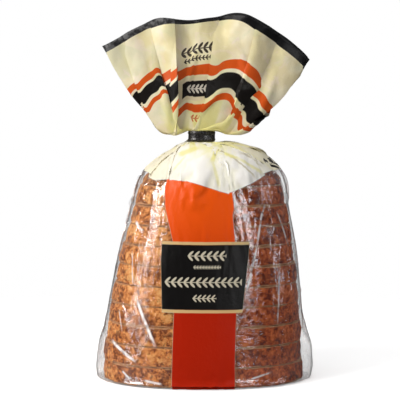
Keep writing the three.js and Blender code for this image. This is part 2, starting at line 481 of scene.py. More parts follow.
# %% Sums, steps and patterns
class Look(Nodes):
    """Nodes with the sums and patterns that finishes are built from."""

    def sum_of(self, operation, *values):
        made = self.node("Math", operation=operation)
        for socket, value in zip(made.inputs, values):
            self.feed(socket, value)
        return made.outputs[0]

    def plus(self, a, b):
        return self.sum_of("ADD", a, b)

    def minus(self, a, b):
        return self.sum_of("SUBTRACT", a, b)

    def times(self, a, b):
        return self.sum_of("MULTIPLY", a, b)

    def most(self, a, b):
        return self.sum_of("MAXIMUM", a, b)

    def least(self, a, b):
        return self.sum_of("MINIMUM", a, b)

    def size(self, a):
        return self.sum_of("ABSOLUTE", a)

    def step(self, value, start, end, low=0.0, high=1.0):
        """Goes smoothly from low to high while value goes from start to end."""
        made = self.node("MapRange", interpolation_type="SMOOTHSTEP")
        for name, number in zip(("Value", "From Min", "From Max", "To Min", "To Max"),
                                (value, start, end, low, high)):
            self.feed(made.inputs[name], number)
        return made.outputs[0]

    def between(self, value, low, high, soft):
        """1 where value lies between low and high, with soft edges."""
        rise = self.step(value, low - soft, low + soft)
        fall = self.step(value, high - soft, high + soft, 1.0, 0.0)
        return self.times(rise, fall)

    def mix(self, mask, below, above):
        """Mixes two colours. A colour mix node keeps its colours in sockets 6 and 7."""
        made = self.node("Mix", data_type="RGBA")
        for socket, value in zip((made.inputs[0], *made.inputs[6:8]), (mask, below, above)):
            self.feed(socket, value)
        return made.outputs[2]

    def noise(self, vector, scale, detail=4.0, roughness=0.55, distortion=0.0):
        return self.made_of("TexNoise", Vector=vector, Scale=scale, Detail=detail,
                            Roughness=roughness, Distortion=distortion)

    def bump(self, height, strength, distance):
        return self.made_of("Bump", Height=height, Strength=strength, Distance=distance)

    def skin(self, colour, roughness, **inputs):
        """The all-round surface shader."""
        return self.made_of("BsdfPrincipled", Base_Color=colour, Roughness=roughness, **inputs)


print("sums, steps and patterns are ready")

# %% [markdown]
# ## Bread
#
# Wholemeal crust is a patchwork: tan where it rose late, deep brown where it met the heat,
# and speckled with bran. Its right side is darker and redder, partly a darker bake and partly
# painted shade of the side away from the key lamp. The crumb is paler and greyer. It could be
# painted by hand, but noises of different size give the patches, a cell pattern gives the
# bran, and the rim value stored on the mesh says where crust turns into crumb, so the pale
# line at every cut edge falls exactly on the cut.

# %% Bread tones
# Each crust tone is (dark, middle, light).
GOLDEN = ((0.25, 0.065, 0.013), (0.80, 0.29, 0.07), (0.95, 0.52, 0.19))
# The right side's crust tone: partly a darker bake, partly painted shade of the side away from the key
# lamp.
BAKED_AND_SHADED = ((0.14, 0.02, 0.004), (0.50, 0.085, 0.014), (0.78, 0.19, 0.045))
DEEP = ((0.15, 0.03, 0.006), (0.64, 0.19, 0.04), (0.92, 0.42, 0.12))
HEEL_GOLDEN = tuple(tuple(0.7 * c for c in tone) for tone in GOLDEN)
SCORCH = (0.16, 0.04, 0.009)
CRUST_BRAN = (0.06, 0.02, 0.007)
FLOUR = (0.80, 0.44, 0.19)
CRUMB = (0.68, 0.34, 0.155)
CRUMB_HOLLOW = tuple(0.62 * c for c in CRUMB)
CRUMB_BRAN = (0.13, 0.05, 0.018)


def tone_ramp(look, value, tones):
    """Runs from the dark to the light tone while value goes up."""
    made = look.node("ValToRGB")
    stops = made.color_ramp.elements
    dark, middle, light = tones
    stops[0].position, stops[0].color = 0.52, (*dark, 1)
    stops[1].position, stops[1].color = 0.71, (*light, 1)
    stops.new(0.61).color = (*middle, 1)
    look.feed(made.inputs[0], value)
    return made.outputs[0]


def crust_colour(look, place, golden, patches, mottle, grit, bran):
    """Golden on the left; darker and redder on the right, partly a darker bake and partly painted shade;
    with scorched spots, bran and flour.
    """
    tone = look.plus(look.times(patches, 0.42), look.times(mottle, 0.8))
    x, y, z = look.parts(place)
    # How far right a point lies. Further right the crust takes the darker tone, which is partly painted
    # shade.
    towards_shaded_right = look.plus(x, look.times(look.minus(patches, 0.5), 0.05))
    # Towards the bottom, below 10 cm, the golden side runs into the darker deep tone.
    low_down = look.step(look.plus(z, look.times(patches, 0.03)), 0.03, 0.1, 0.75, 0.0)
    left = look.mix(low_down, tone_ramp(look, tone, golden), tone_ramp(look, tone, DEEP))
    crust = look.mix(look.step(towards_shaded_right, -0.022, 0.03), left, tone_ramp(look, tone, BAKED_AND_SHADED))
    spots = look.step(look.noise(place, 190, 2, 0.5), 0.56, 0.66)
    scorched = look.times(spots, look.step(towards_shaded_right, -0.02, 0.02, 0.75, 0.3))
    crust = look.mix(scorched, crust, SCORCH)
    crust = look.mix(look.times(bran, 0.7), crust, CRUST_BRAN)
    flour = look.times(look.step(grit, 0.56, 0.72), look.step(mottle, 0.45, 0.6, 0.1, 0.7))
    # Less flour on the right keeps the painted shade there dark.
    flour = look.times(flour, look.step(towards_shaded_right, -0.02, 0.03, 0.8, 0.1))
    return look.mix(flour, crust, FLOUR)


def crumb_colour(look, mottle, bran):
    inside = look.mix(look.step(mottle, 0.35, 0.65), CRUMB, CRUMB_HOLLOW)
    return look.mix(look.times(bran, 0.7), inside, CRUMB_BRAN)


print("crust runs from", GOLDEN[1], "to", BAKED_AND_SHADED[1])


# %% Bread finish
def bread_finish(name, golden):
    """Baked crust on the rim, crumb on the cut faces."""
    look = Look(bpy.data.materials.new(name))
    place = look.node("TexCoord").outputs["Object"]
    patches = look.noise(place, 60, 4, 0.6)
    mottle = look.noise(place, 300, 6, 0.72)
    grit = look.noise(place, 900, 3, 0.75)
    cells = look.made_of("TexVoronoi", Vector=place, Scale=420)
    bran = look.times(look.step(cells, 0.16, 0.32, 1.0, 0.0), look.step(mottle, 0.45, 0.6))
    crust = crust_colour(look, place, golden, patches, mottle, grit, bran)
    rim = look.node("Attribute", attribute_name="rim").outputs["Fac"]
    ragged = look.plus(rim, look.times(look.minus(patches, 0.4), 2.2))
    colour = look.mix(look.step(ragged, 0.35, 0.75), crumb_colour(look, mottle, bran), crust)
    height = look.plus(look.times(mottle, 0.9), look.times(grit, 0.3))
    return look.surface(look.skin(colour, 0.85, Normal=look.bump(height, 0.9, 0.0016),
                                  Specular_IOR_Level=0.25))


bread = bread_finish("wholemeal_crust_and_crumb", GOLDEN)
heel_bread = bread_finish("wholemeal_heel_crust", HEEL_GOLDEN)
for piece in stack:
    piece.data.materials.append(heel_bread if "heel" in piece.name else bread)
print("bread finish has", len(bread.node_tree.nodes), "nodes")

# %% [markdown]
# ## Floor
#
# The bag stands on a plain white table that runs out into white air. A large white plane
# alone would show a horizon. So the table turns clear a little way from the bag, and it is
# white when it is seen but throws little light back, as a matt sweep under a hood does.

# %% Floor
TABLE_HALF = 3.0
TABLE_CLEAR_FROM, TABLE_CLEAR_AT = 0.16, 0.42
TABLE_THROWS = (0.22, 0.22, 0.22)

bm = bmesh.new()
bmesh.ops.create_grid(bm, x_segments=8, y_segments=8, size=TABLE_HALF)
floor = finish_mesh(bm, "floor", smooth=False)
look = Look(bpy.data.materials.new("white_table"))
place = look.node("TexCoord").outputs["Object"]
white = look.mix(look.noise(place, 40), (0.93, 0.93, 0.93), (0.96, 0.96, 0.96))
seen = look.node("LightPath").outputs["Is Camera Ray"]
white = look.mix(seen, TABLE_THROWS, white)
table_skin = look.skin(white, 0.7, Emission_Color=(1, 1, 1), Emission_Strength=look.times(seen, 0.45))
reach = look.node("VectorMath", operation="LENGTH")
look.feed(reach.inputs[0], place)
clear_share = look.step(reach.outputs["Value"], TABLE_CLEAR_FROM, TABLE_CLEAR_AT)
clear = look.made_of("BsdfTransparent")
floor.data.materials.append(look.surface(look.blend(clear_share, table_skin, clear)))
print("table clears", TABLE_CLEAR_AT, "m from the bag")

# %% [markdown]
# ## Lamps
#
# Soft studio light comes from one big lamp at the upper left, and long strips draw bright
# streaks on the film. A sun lamp would light the bread as well, but its small disc makes hard
# shadows and no streaks, so every lamp is an area lamp.

# %% Lamps
# Name, place, aim, size, power in watts and colour.
WARM, WHITE = (1.0, 0.96, 0.92), (1, 1, 1)
LAMPS = [
    ("key_lamp", (-0.92, -0.62, 0.6), (0, 0, 0.1), (0.5, 0.5), 11.6, WARM),
    ("top_lamp", (-0.1, -0.25, 1.1), (0, 0, 0.1), (0.6, 0.4), 2.5, WHITE),
    ("left_strip", (-0.85, -0.42, 0.2), (0, 0, 0.08), (0.06, 0.5), 1.0, WHITE),
    ("right_card", (0.6, -0.62, 0.37), (0, 0, 0.1), (0.5, 0.12), 0.7, WHITE),
    ("right_strip", (0.85, -0.3, 0.35), (0, 0, 0.1), (0.04, 0.7), 0.7, WHITE),
]

for name, at, aim, size, power, colour in LAMPS:
    data = bpy.data.lights.new(name, "AREA")
    data.shape = "RECTANGLE"
    data.size, data.size_y = size
    data.energy = power
    data.color = colour
    lamp = bpy.data.objects.new(name, data)
    lamp.location = at
    lamp.rotation_euler = (Vector(aim) - Vector(at)).to_track_quat("-Z", "Y").to_euler()
    bpy.context.scene.collection.objects.link(lamp)
print(len(LAMPS), "lamps give", sum(lamp[4] for lamp in LAMPS), "W")

# %% [markdown]
# ## The surround
#
# Clear film is seen only by what it mirrors. A plain white world would make it vanish. So
# the surround has three parts: white where it is seen directly, a soft gradient that lights
# the bread from the left, and for mirror images a darker one with two bright cards in it.
# The dark part draws the edges of the film, and the cards make its glare.

# %% World
CARDS = [((0.2, 0.6), (0.04, 0.24), 7.2), ((-0.78, -0.755), (-0.25, 0.5), 10.0)]
CARD_EDGE = 0.02

world = bpy.data.worlds.new("studio")
bpy.context.scene.world = world
look = Look(world)
way_x, way_y, way_z = look.parts(look.node("TexCoord").outputs["Generated"])
soft_light = look.times(look.step(way_z, -0.3, 0.9, 0.5, 1.0), look.step(way_x, -1, 0.9, 1.2, 0.25))
mirrored = look.times(look.step(way_z, -0.1, 0.85, 0.16, 0.75), look.step(way_y, -0.7, 0.6, 0.35, 1.0))
for x_range, z_range, brightness in CARDS:
    card = look.times(look.between(way_x, *x_range, CARD_EDGE), look.between(way_z, *z_range, CARD_EDGE))
    mirrored = look.plus(mirrored, look.times(card, look.step(way_y, -0.3, -0.2, brightness, 0.0)))
lit = look.made_of("Background", Color=soft_light, Strength=0.62)
shown = look.made_of("Background", Color=mirrored, Strength=1.0)
backdrop = look.made_of("Background", Color=(1, 1, 1), Strength=1.0)
ray = look.node("LightPath").outputs
unseen = look.blend(ray["Is Glossy Ray"], lit, shown)
look.surface(look.blend(ray["Is Camera Ray"], unseen, backdrop), "OutputWorld")
bpy.context.scene.view_settings.view_transform = "Standard"
bpy.context.scene.cycles.transparent_max_bounces = 24
print("surround has", len(CARDS), "cards")


# %% [markdown]
# ## The film bag
#
# The bag was cut as a flat tube, twice as wide as a flattened bag and as long as the bag from
# its bottom seal to its mouth. That length of film round the bag is the same at every height,
# while the loaf under it gets narrower and the tie squeezes it to a finger's width. So the
# film has to fold, and the folds are what makes it look like film.
#
# It could be modelled smooth with a bump map, but then its outline and its highlights would
# stay smooth too. Here every ring of the bag takes the full length of film and lays it round
# the outline in knife pleats: forward, back under itself, and forward again. How much is
# folded away follows from the two lengths, so the pleats deepen by themselves towards the tie.

# %% Pleats round the flat bag
FLAT_WIDTH = 0.190
ROUND_BAG = 2 * FLAT_WIDTH
FILM_STEPS = 264

# One pleat: where it lies round the flat bag in millimetres, which side overlaps, and how much
# of the spare film it takes beside the loaf, in the fan and in the neck.
PLEATS = [
    (-172, 1, 1.3, 1.2, 0.8), (-149, -1, 2.0, 1.5, 1.3), (-121, 1, 1.2, 1.2, 0.7),
    (-98, 1, 0.2, 0.6, 1.2), (-74, -1, 0.4, 0.5, 0.7), (-52, 1, 0.12, 0.4, 1.5),
    (-31, 1, 0.0, 1.9, 0.8), (13, -1, 0.0, 1.5, 1.2), (45, -1, 0.04, 0.5, 0.7),
    (63, -1, 0.55, 0.8, 1.5), (88, 1, 0.15, 0.5, 0.7), (112, -1, 1.1, 1.3, 1.3),
    (140, 1, 1.9, 1.6, 0.8), (166, -1, 1.4, 1.3, 1.2),
]
PLEAT_AT, PLEAT_SIDE, PLEAT_BODY, PLEAT_FAN, PLEAT_NECK = np.array(PLEATS).T
PLEAT_AT = PLEAT_AT * MM

# Places round the flat bag: 0 is the middle of the front, and both ends are the back's middle.
FLAT_ROUND = (np.arange(FILM_STEPS) / FILM_STEPS - 0.5) * ROUND_BAG
print(len(PLEATS), "pleats in", ROUND_BAG / MM, "mm of film")


# %% Laying one ring of film
LEAST_FOLD = 0.5 * MM


def smoothstep(values, start, end):
    t = np.clip((values - start) / (end - start), 0, 1)
    return t * t * (3 - 2 * t)


def film_levels(tuck, lift, swell):
    """How far the film lies above its outline: between two pleats it runs from one overlap to the next."""
    rise = lift * np.minimum(0.35 + 0.1 * tuck / MM, 1.25) * MM
    ends = np.append(PLEAT_AT, PLEAT_AT[0] + ROUND_BAG)
    height = np.zeros(FILM_STEPS)
    for i in range(len(PLEATS)):
        start, end = ends[i], ends[i + 1]
        j = (i + 1) % len(PLEATS)
        here = np.where(FLAT_ROUND < start, FLAT_ROUND + ROUND_BAG, FLAT_ROUND)
        inside = (here >= start) & (here < end)
        share = np.clip((here - start) / (end - start), 0, 1)
        level = -PLEAT_SIDE[i] * rise[i] * (1 - share) + PLEAT_SIDE[j] * rise[j] * share
        level += swell * (end - start) * np.sin(math.pi * share)
        height = np.where(inside, level, height)
    return (np.roll(height, 1) + 2 * height + np.roll(height, -1)) / 4


def lay_film(points, weights, lift, swell):
    """Lays the bag's full round length along a closed outline, in pleats.

    points is the outline as an array that starts at the middle of the front and runs towards
    +X. Returns the places, the outward direction and how far each lies above the outline.
    """
    closed = np.vstack([points, points[:1]])
    along = np.concatenate([[0], np.cumsum(np.linalg.norm(np.diff(closed, axis=0), axis=1))])
    total = along[-1]
    spare = max(ROUND_BAG - total, 0) / 2
    tuck = spare * weights / weights.sum()
    laid = FLAT_ROUND.copy()
    for at, back_under in zip(PLEAT_AT, tuck):
        width = max(back_under, LEAST_FOLD)
        laid -= 2 * back_under * smoothstep(FLAT_ROUND, at - width / 2, at + width / 2)
    laid = (laid - np.interp(0, FLAT_ROUND, laid)) * (total / (ROUND_BAG - 2 * tuck.sum()))

    def read(where):
        where = np.mod(where, total)
        return np.stack([np.interp(where, along, closed[:, axis]) for axis in (0, 1)], 1)

    laid = np.mod(laid, total)
    onward = read(laid + 0.5 * MM) - read(laid - 0.5 * MM)
    out = np.stack([onward[:, 1], -onward[:, 0]], 1)
    out /= np.linalg.norm(out, axis=1)[:, None]
    return read(laid), out, film_levels(tuck, lift, swell)


print("film points lie", round(ROUND_BAG / FILM_STEPS / MM, 2), "mm apart")

# %% [markdown]
# ## The bag's outlines
#
# Beside the loaf the film follows the bread with a little air, and the tube's two folded
# edges stand out at the foot as flat ears. Above it, the shoulder closes to the neck like a
# dome. Both could be swept along a drawn curve, but then bread and bag might cross. So each
# outline is worked out from the bread's own section and the tie's box.

# %% Outlines beside the loaf, over the shoulder and in the tie
FILM_GAP = 0.95 * MM
NECK_HALF = (7.3 * MM, 4.6 * MM)
SHOULDER_START = 0.119
SHOULDER_POWER = 2.2
SHOULDER_ROOT = 2.1
SHOULDER_CENTRING = 0.35
LEFT_FALL = 4.5 * MM
EAR_HEIGHT = 52 * MM
EAR_SHARES = (0.0, 0.15, 0.45, 0.75, 1.0)
EAR_STANDS_OUT = (0.75, 1.0, 0.95, 0.4, 0.0)
RIGHT_EAR = 7 * MM
LEFT_EAR = 5 * MM
OUTLINE_STEPS = 1200

tie_low, tie_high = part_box("neck_tie")
NECK_X = (tie_low.x + tie_high.x) / 2
NECK_START = tie_low.z - 0.4 * MM
NECK_END = tie_high.z + 0.2 * MM
# The outline starts at the middle of the front and runs towards +X.
OUTLINE_ANGLE = -math.pi / 2 + np.linspace(0, 2 * math.pi, OUTLINE_STEPS, endpoint=False)


def body_outline(height):
    """The loaf's outline with room for the film, and the folded base corners standing out."""
    x, y = outline(section(height, FILM_GAP), OUTLINE_ANGLE)
    stands_out = np.interp(height / EAR_HEIGHT, EAR_SHARES, EAR_STANDS_OUT)
    reach = np.where(np.cos(OUTLINE_ANGLE) > 0, RIGHT_EAR, -LEFT_EAR)
    x = x + reach * stands_out * np.exp(-(np.sin(OUTLINE_ANGLE) / 0.3) ** 2)
    return np.stack([x, y], 1)


def oval(middle, half, depth):
    x = middle + half * np.cos(OUTLINE_ANGLE)
    y = MIDDLE_Y + depth * np.sin(OUTLINE_ANGLE)
    return np.stack([x, y], 1)


def middle_x(height):
    """Where the loaf's middle stands, because it leans a little to the right."""
    left, right, _, _ = section(height)
    return (left + right) / 2


def shoulder_outline(rise):
    """Between the loaf and the neck the outline closes like a dome that leans with the loaf."""
    open_share = (1 - rise ** SHOULDER_POWER) ** (1 / SHOULDER_ROOT)
    body = body_outline(SHOULDER_START) - (middle_x(SHOULDER_START), 0)
    neck = oval(NECK_X, *NECK_HALF) - (NECK_X, 0)
    shape = neck * (1 - open_share) + body * open_share
    leaning = middle_x(SHOULDER_START + (NECK_START - SHOULDER_START) * rise)
    centring = open_share ** SHOULDER_CENTRING
    shape[:, 0] += NECK_X * (1 - centring) + leaning * centring
    # The left side falls straighter from the tie than the right one.
    left_side = np.maximum(-np.cos(OUTLINE_ANGLE), 0)
    shape[:, 0] += LEFT_FALL * left_side * math.exp(-((rise - 0.82) / 0.16) ** 2)
    return shape


around = np.diff(body_outline(0.0), axis=0, append=body_outline(0.0)[:1])
print("the loaf's foot takes", round(np.linalg.norm(around, axis=1).sum() / MM), "mm of film")


# %% Rings up to the tie
SEAL_SHARES = (0.0, 0.12, 0.3, 0.5, 0.7, 0.85, 0.94)
SEAL_WIDTH = 0.86
SEAL_DEPTH = 0.004
BODY_HEIGHTS = np.concatenate([[0.5, 1.6, 3.4], np.arange(6, 117, 2.6)]) * MM
FOOT_ROUND = 0.5 * MM
FOOT_HEIGHT = 3.4 * MM
SHOULDER_RISES = (0.0, 0.06, 0.12, 0.18, 0.24, 0.3, 0.36, 0.42, 0.48, 0.54, 0.6, 0.655, 0.705, 0.75, 0.79,
                  0.825, 0.857, 0.885, 0.91, 0.932, 0.951, 0.967, 0.981, 0.992)
NECK_RINGS = 5


def wrinkle(points, out, amount, seed=3.7):
    """Small creases that run up and down the film, in metres along its outward direction."""
    moved = []
    for point in points:
        here = Vector(point) / MM
        tall = Vector((here.x / 9, here.y / 9, here.z / 34 + seed))
        crisp = Vector((here.x / 5, here.y / 5, here.z / 11 + seed))
        soft = noise.fractal(tall, 0.8, 2.0, 3)
        ridge = 1 - abs(noise.noise(crisp)) * 2.6
        moved.append(amount * (0.6 * soft + 0.35 * ridge) * MM)
    return np.array(moved)


def film_ring(shape, height, weights, lift, swell, crease):
    """One ring of film at a height, laid in pleats and wrinkled."""
    flat, out, above = lay_film(shape, weights, lift, swell)
    points = np.column_stack([flat, np.full(FILM_STEPS, height)])
    away = above
    if crease:
        away = above + wrinkle(points, out, crease)
    points[:, :2] += out * away[:, None]
    return points


def foot_rings():
    """Under the loaf the tube is drawn in to its bottom seal, a short line along X."""
    rim = body_outline(0.0)
    middle = rim.mean(0)
    seal = middle + (rim - middle) * (SEAL_WIDTH, SEAL_DEPTH)
    rings = []
    for share in SEAL_SHARES:
        height = (0.15 + 0.25 * share) * MM
        rings.append(film_ring(seal * (1 - share) + rim * share, height, PLEAT_BODY, 0.0, 0.0, 0.1))
    return rings


def body_rings():
    """Beside the loaf. The film turns in a little at the very foot."""
    middle = body_outline(0.0).mean(0)
    rings = []
    for height in BODY_HEIGHTS:
        shape = body_outline(height)
        inward = (middle - shape) / np.linalg.norm(middle - shape, axis=1)[:, None]
        shape = shape + inward * max(0.0, 1 - height / FOOT_HEIGHT) ** 2 * FOOT_ROUND
        blend = float(smoothstep(np.array(height), 0.07, SHOULDER_START + 0.01))
        weights = PLEAT_BODY * (1 - blend) + np.maximum(PLEAT_BODY, 0.25) * blend
        rings.append(film_ring(shape, height, weights, 0.9, 0.004 * blend, 1.0))
    return rings


def shoulder_rings():
    """From the heel to the tie the folds change over to those of the neck, and soften."""
    rings = []
    for rise in SHOULDER_RISES:
        height = SHOULDER_START + (NECK_START - SHOULDER_START) * rise
        weights = PLEAT_BODY * (1 - rise) + PLEAT_NECK * (0.06 + rise ** 1.3)
        swell = 0.10 * math.sin(math.pi * min(rise * 1.1, 1.0))
        lift = 0.65 - 0.15 * rise
        rings.append(film_ring(shoulder_outline(rise), height, weights, lift, swell, 1.0 - 0.7 * rise))
    return rings


def neck_rings():
    return [film_ring(oval(NECK_X, *NECK_HALF), height, PLEAT_NECK, 0.35, 0.0, 0.0)
            for height in np.linspace(NECK_START, NECK_END, NECK_RINGS)]


film_rings = foot_rings() + body_rings() + shoulder_rings() + neck_rings()
print(len(film_rings), "rings of film reach the top of the tie")

# %% [markdown]
# ## The fan
#
# Above the tie the film springs open again and ends at the bag's mouth. It could be shaped
# like the shoulder, by height. But in a fan every strand of film runs its own way to the
# mouth, so the strands are worked out first, and each ring then takes the same share of
# every strand's length. That keeps the printed stripes parallel to the mouth.

# %% Strands of the fan
FAN_RINGS = 38
FAN_LEVELS = np.linspace(0, 1, 60)
FAN_SAG = 5.0 * MM
MOUTH_X = 1.2 * MM
MOUTH_HALF = 70.5 * MM
MOUTH_DEPTH = 7.5 * MM
MOUTH_TOP = cad_high.z + 1.5 * MM
MOUTH_DROP = 26 * MM
MOUTH_SKEW = 6 * MM
# Waves of the mouth: where across it, how wide, and how many millimetres high.
MOUTH_WAVES = [
    (-0.12, 0.24, -5.0), (0.35, 0.17, 2.0), (-0.49, 0.12, 1.6), (-0.95, 0.2, -3.0), (0.1, 0.1, -1.0),
]


def fan_level(level):
    """The film at one level of the fan: its places, its outward direction and its pleats' heights."""
    spread, rise = level ** 0.62, level ** 1.5
    half = NECK_HALF[0] + (MOUTH_HALF - NECK_HALF[0]) * spread
    depth = NECK_HALF[1] + (MOUTH_DEPTH - NECK_HALF[1]) * level
    middle = NECK_X + (MOUTH_X - NECK_X) * spread
    weights = PLEAT_NECK * (1 - level) + PLEAT_FAN * level
    lift = 0.6 + 1.6 * math.sin(math.pi * level ** 0.8)
    flat, out, above = lay_film(oval(middle, half, depth), weights, lift, 0.05 * level)
    side = np.clip((flat[:, 0] - middle) / half, -1, 1)
    mouth_z = MOUTH_TOP - (MOUTH_DROP + MOUTH_SKEW * side) * side ** 2
    for at, wide, high in MOUTH_WAVES:
        mouth_z += high * MM * np.exp(-((side - at) / wide) ** 2)
    z = NECK_END + (mouth_z - NECK_END) * rise
    beside_tie = smoothstep(np.abs(flat[:, 0] - NECK_X), 9 * MM, 17 * MM)
    z -= FAN_SAG * beside_tie * math.exp(-((level - 0.14) / 0.12) ** 2)
    return np.column_stack([flat, z]), out, above


def fan_billow(flat_place, share):
    """How far the fan's film bellies forwards (-Y) or back, differently in each lobe."""
    here = flat_place / MM
    lobes = 3.4 * math.sin(here / 11.5 + 0.7) + 2.2 * math.sin(here / 6.3 + 1.9 + 2.2 * share)
    twist = 3.0 * math.sin(here / 31 + 2.5 * share)
    return (lobes + twist) * MM * share ** 0.8 * (1 - 0.25 * share)


def fan_wrinkle(place, share):
    """Soft waves and flat facets, growing towards the mouth, in metres."""
    x, y, z = place
    soft = noise.fractal(Vector((x / MM / 10, y / MM / 10, z / MM / 22)), 0.8, 2.0, 3)
    facet = abs(noise.noise(Vector((x, 0.3 * z, z)) / (24 * MM) + Vector((4.1, 0, 0))))
    return share * (0.9 * soft - 3.6 * facet) * MM


strands = [fan_level(level) for level in FAN_LEVELS]
print("fan opens from", round(NECK_HALF[0] * 2 / MM), "to", round(MOUTH_HALF * 2 / MM), "mm")


# %% Rings of the fan
def fan_rings():
    """Rings that each lie at the same share of every strand's length."""
    path = np.stack([places for places, _, _ in strands])
    steps = np.linalg.norm(np.diff(path, axis=0), axis=2)
    length = np.concatenate([np.zeros((1, FILM_STEPS)), np.cumsum(steps, 0)])
    rings = []
    for i in range(1, FAN_RINGS + 1):
        share = i / FAN_RINGS
        points = np.zeros((FILM_STEPS, 3))
        for column in range(FILM_STEPS):
            level = np.interp(share * length[-1, column], length[:, column], FAN_LEVELS)
            index = level * (len(FAN_LEVELS) - 1)
            low = min(int(index), len(FAN_LEVELS) - 2)
            part = index - low
            place, away, above = (a[column] * (1 - part) + b[column] * part
                                  for a, b in zip(strands[low], strands[low + 1]))
            place[:2] += away * (above + fan_wrinkle(place, share))
            place[1] += fan_billow(FLAT_ROUND[column], share)
            points[column] = place
        rings.append(points)
    return rings


neck_row = len(film_rings) - 1
film_rings += fan_rings()
print(len(film_rings), "rings of film in all")

# %% [markdown]
# ## The film as one mesh
#
# The rings become one sheet, and every point keeps its place on the flat bag as a UV map.
# The print could be laid on by its place in space, but real print is done on flat film and
# folds with it. With the flat places kept, stripes break at a pleat as they really do.

# %% Film mesh
STRAND_SHARE = 68


def film_lengths():
    """How far up the flat bag each ring lies, by the length of a typical strand."""
    up = [0.0]
    for before, points in zip(film_rings, film_rings[1:]):
        steps = np.linalg.norm(points - before, axis=1)
        up.append(up[-1] + float(np.percentile(steps, STRAND_SHARE)))
    return np.array(up)


def put_in_order(bm):
    """Sorts edges and faces by their lowest vertices, because extruding leaves them in any order.

    A simulation goes through them in turn, so a fixed order gives the same folds each time.
    """
    def lowest(element):
        first, second = sorted(vert.index for vert in element.verts)[:2]
        return first * len(bm.verts) + second

    for elements in (bm.edges, bm.faces):
        elements.sort(key=lowest)
        elements.index_update()


def film_mesh(up):
    """The whole bag as one sheet, with its flat places as a UV map from 0 to 1."""
    bm = bmesh.new()
    place_of = {}
    ring = None
    for row, points in enumerate(film_rings):
        places = [Vector(p) for p in points]
        ring = add_ring(bm, ring, places, close=False)
        place_of.update({vert: (column, row) for column, vert in enumerate(ring)})
    flat_map = bm.loops.layers.uv.new("flat_bag")
    for face in bm.faces:
        columns = [place_of[loop.vert][0] for loop in face.loops]
        wraps = max(columns) - min(columns) > FILM_STEPS / 2
        for loop in face.loops:
            column, row = place_of[loop.vert]
            if wraps and column < FILM_STEPS / 2:
                column += FILM_STEPS
            loop[flat_map].uv = (column / FILM_STEPS, up[row] / up[-1])
    bm.verts.index_update()
    places = np.array([place_of[vert] for vert in bm.verts])
    put_in_order(bm)
    return finish_mesh(bm, "film"), places


flat_up = film_lengths()
film, film_places = film_mesh(flat_up)
film_columns, film_rows = film_places.T
film_length = float(flat_up[-1])
FOOT_ROW = len(SEAL_SHARES)
FLAT_NECK = flat_up[neck_row] - 4 * MM
print("film is", round(film_length / MM), "mm long,", len(film.data.polygons), "faces")
print("tie lies", round(FLAT_NECK / MM), "mm up the flat bag")

# %% [markdown]
# ## Settling the film
#
# Laid by rule, the film is still stretched here and slack there. It could be smoothed, but
# that would iron the folds out. A short cloth simulation lets it relax to its flat size
# instead. The tie, the creased ears and the foot hold it, and it lies on a smooth stand-in
# for the bread, because colliding with eleven rough slices would take far longer.

# %% What the film lies against
FORM_GROW = 0.3 * MM
FORM_RINGS = 22
FORM_STEPS = 15
FORM_RISES = (0.15, 0.3, 0.45, 0.6, 0.73, 0.83, 0.9, 0.95, 0.98)


def loaf_form():
    """A smooth stand-in for the bread and the air over it, for the film to lie against."""
    rings = []
    for height in np.linspace(0.6 * MM, SHOULDER_START, FORM_RINGS):
        rings.append((np.stack(outline(section(height, FORM_GROW), OUTLINE_ANGLE), 1), height))
    for rise in FORM_RISES:
        shape = shoulder_outline(rise)
        middle = shape.mean(0)
        height = SHOULDER_START + (NECK_START - SHOULDER_START) * rise
        rings.append((middle + (shape - middle) * (1 - 0.02 - 0.03 * rise), height - 1.2 * MM * rise))
    bm = bmesh.new()
    ring = None
    for shape, height in rings:
        ring = add_ring(bm, ring, [Vector((x, y, height)) for x, y in shape[::FORM_STEPS]])
    close_ring(bm, ring)
    return finish_mesh(bm, "loaf_form")


print("the stand-in is a skin of", FORM_RINGS + len(FORM_RISES), "rings")

# %% What holds the film
EAR_CREASE = 26 * MM
HELD_BELOW_TIE = 5
FOOT_GRIP_ROWS = (8, 9, 10, 11, 13)
FOOT_GRIP = (1.0, 0.85, 0.6, 0.3, 0.0)
SPARE_FILM = 1.012


def ear_tips(thing):
    """The vertices along the sharp crease of each base corner."""
    tips = set()
    spots = np.array([v.co for v in thing.data.vertices])
    for row in range(FOOT_GRIP_ROWS[0], film_rows.max()):
        here = np.flatnonzero(film_rows == row)
        if spots[here, 2].mean() > EAR_CREASE:
            break
        by_x = here[np.argsort(spots[here, 0])]
        tips.update(int(i) for i in (*by_x[:2], *by_x[-2:]))
    return tips


def hold_film(thing):
    """Weights of 1 where the film can't move, and less where the foot only grips it."""
    held = thing.vertex_groups.new(name="held")
    tips = ear_tips(thing)
    for index, row in enumerate(film_rows):
        gripped = neck_row - HELD_BELOW_TIE <= row <= neck_row or index in tips
        at_foot = float(np.interp(row, FOOT_GRIP_ROWS, FOOT_GRIP))
        held.add([index], 1.0 if gripped else at_foot, "REPLACE")


def flat_tube(thing):
    """A shape key with the film as an unfolded tube, which is the size it wants to have."""
    thing.shape_key_add(name="start")
    key = thing.shape_key_add(name="flat_tube")
    radius = ROUND_BAG / (2 * math.pi)
    turn = FLAT_ROUND[film_columns] / radius
    tube = np.column_stack([radius * np.sin(turn), -radius * np.cos(turn), flat_up[film_rows]])
    key.data.foreach_set("co", (tube * SPARE_FILM).ravel())
    key.value = 0
    return key


print(len(ear_tips(film)), "points hold the two ears")

# %% Settle the film
SETTLE_FRAMES = 24
CLOTH = {
    "quality": 7, "mass": 0.05, "tension_stiffness": 12, "compression_stiffness": 12,
    "shear_stiffness": 6, "bending_stiffness": 0.02, "tension_damping": 8,
    "compression_damping": 8, "shear_damping": 5, "bending_damping": 0.5, "air_damping": 4,
    "vertex_group_mass": "held",
}


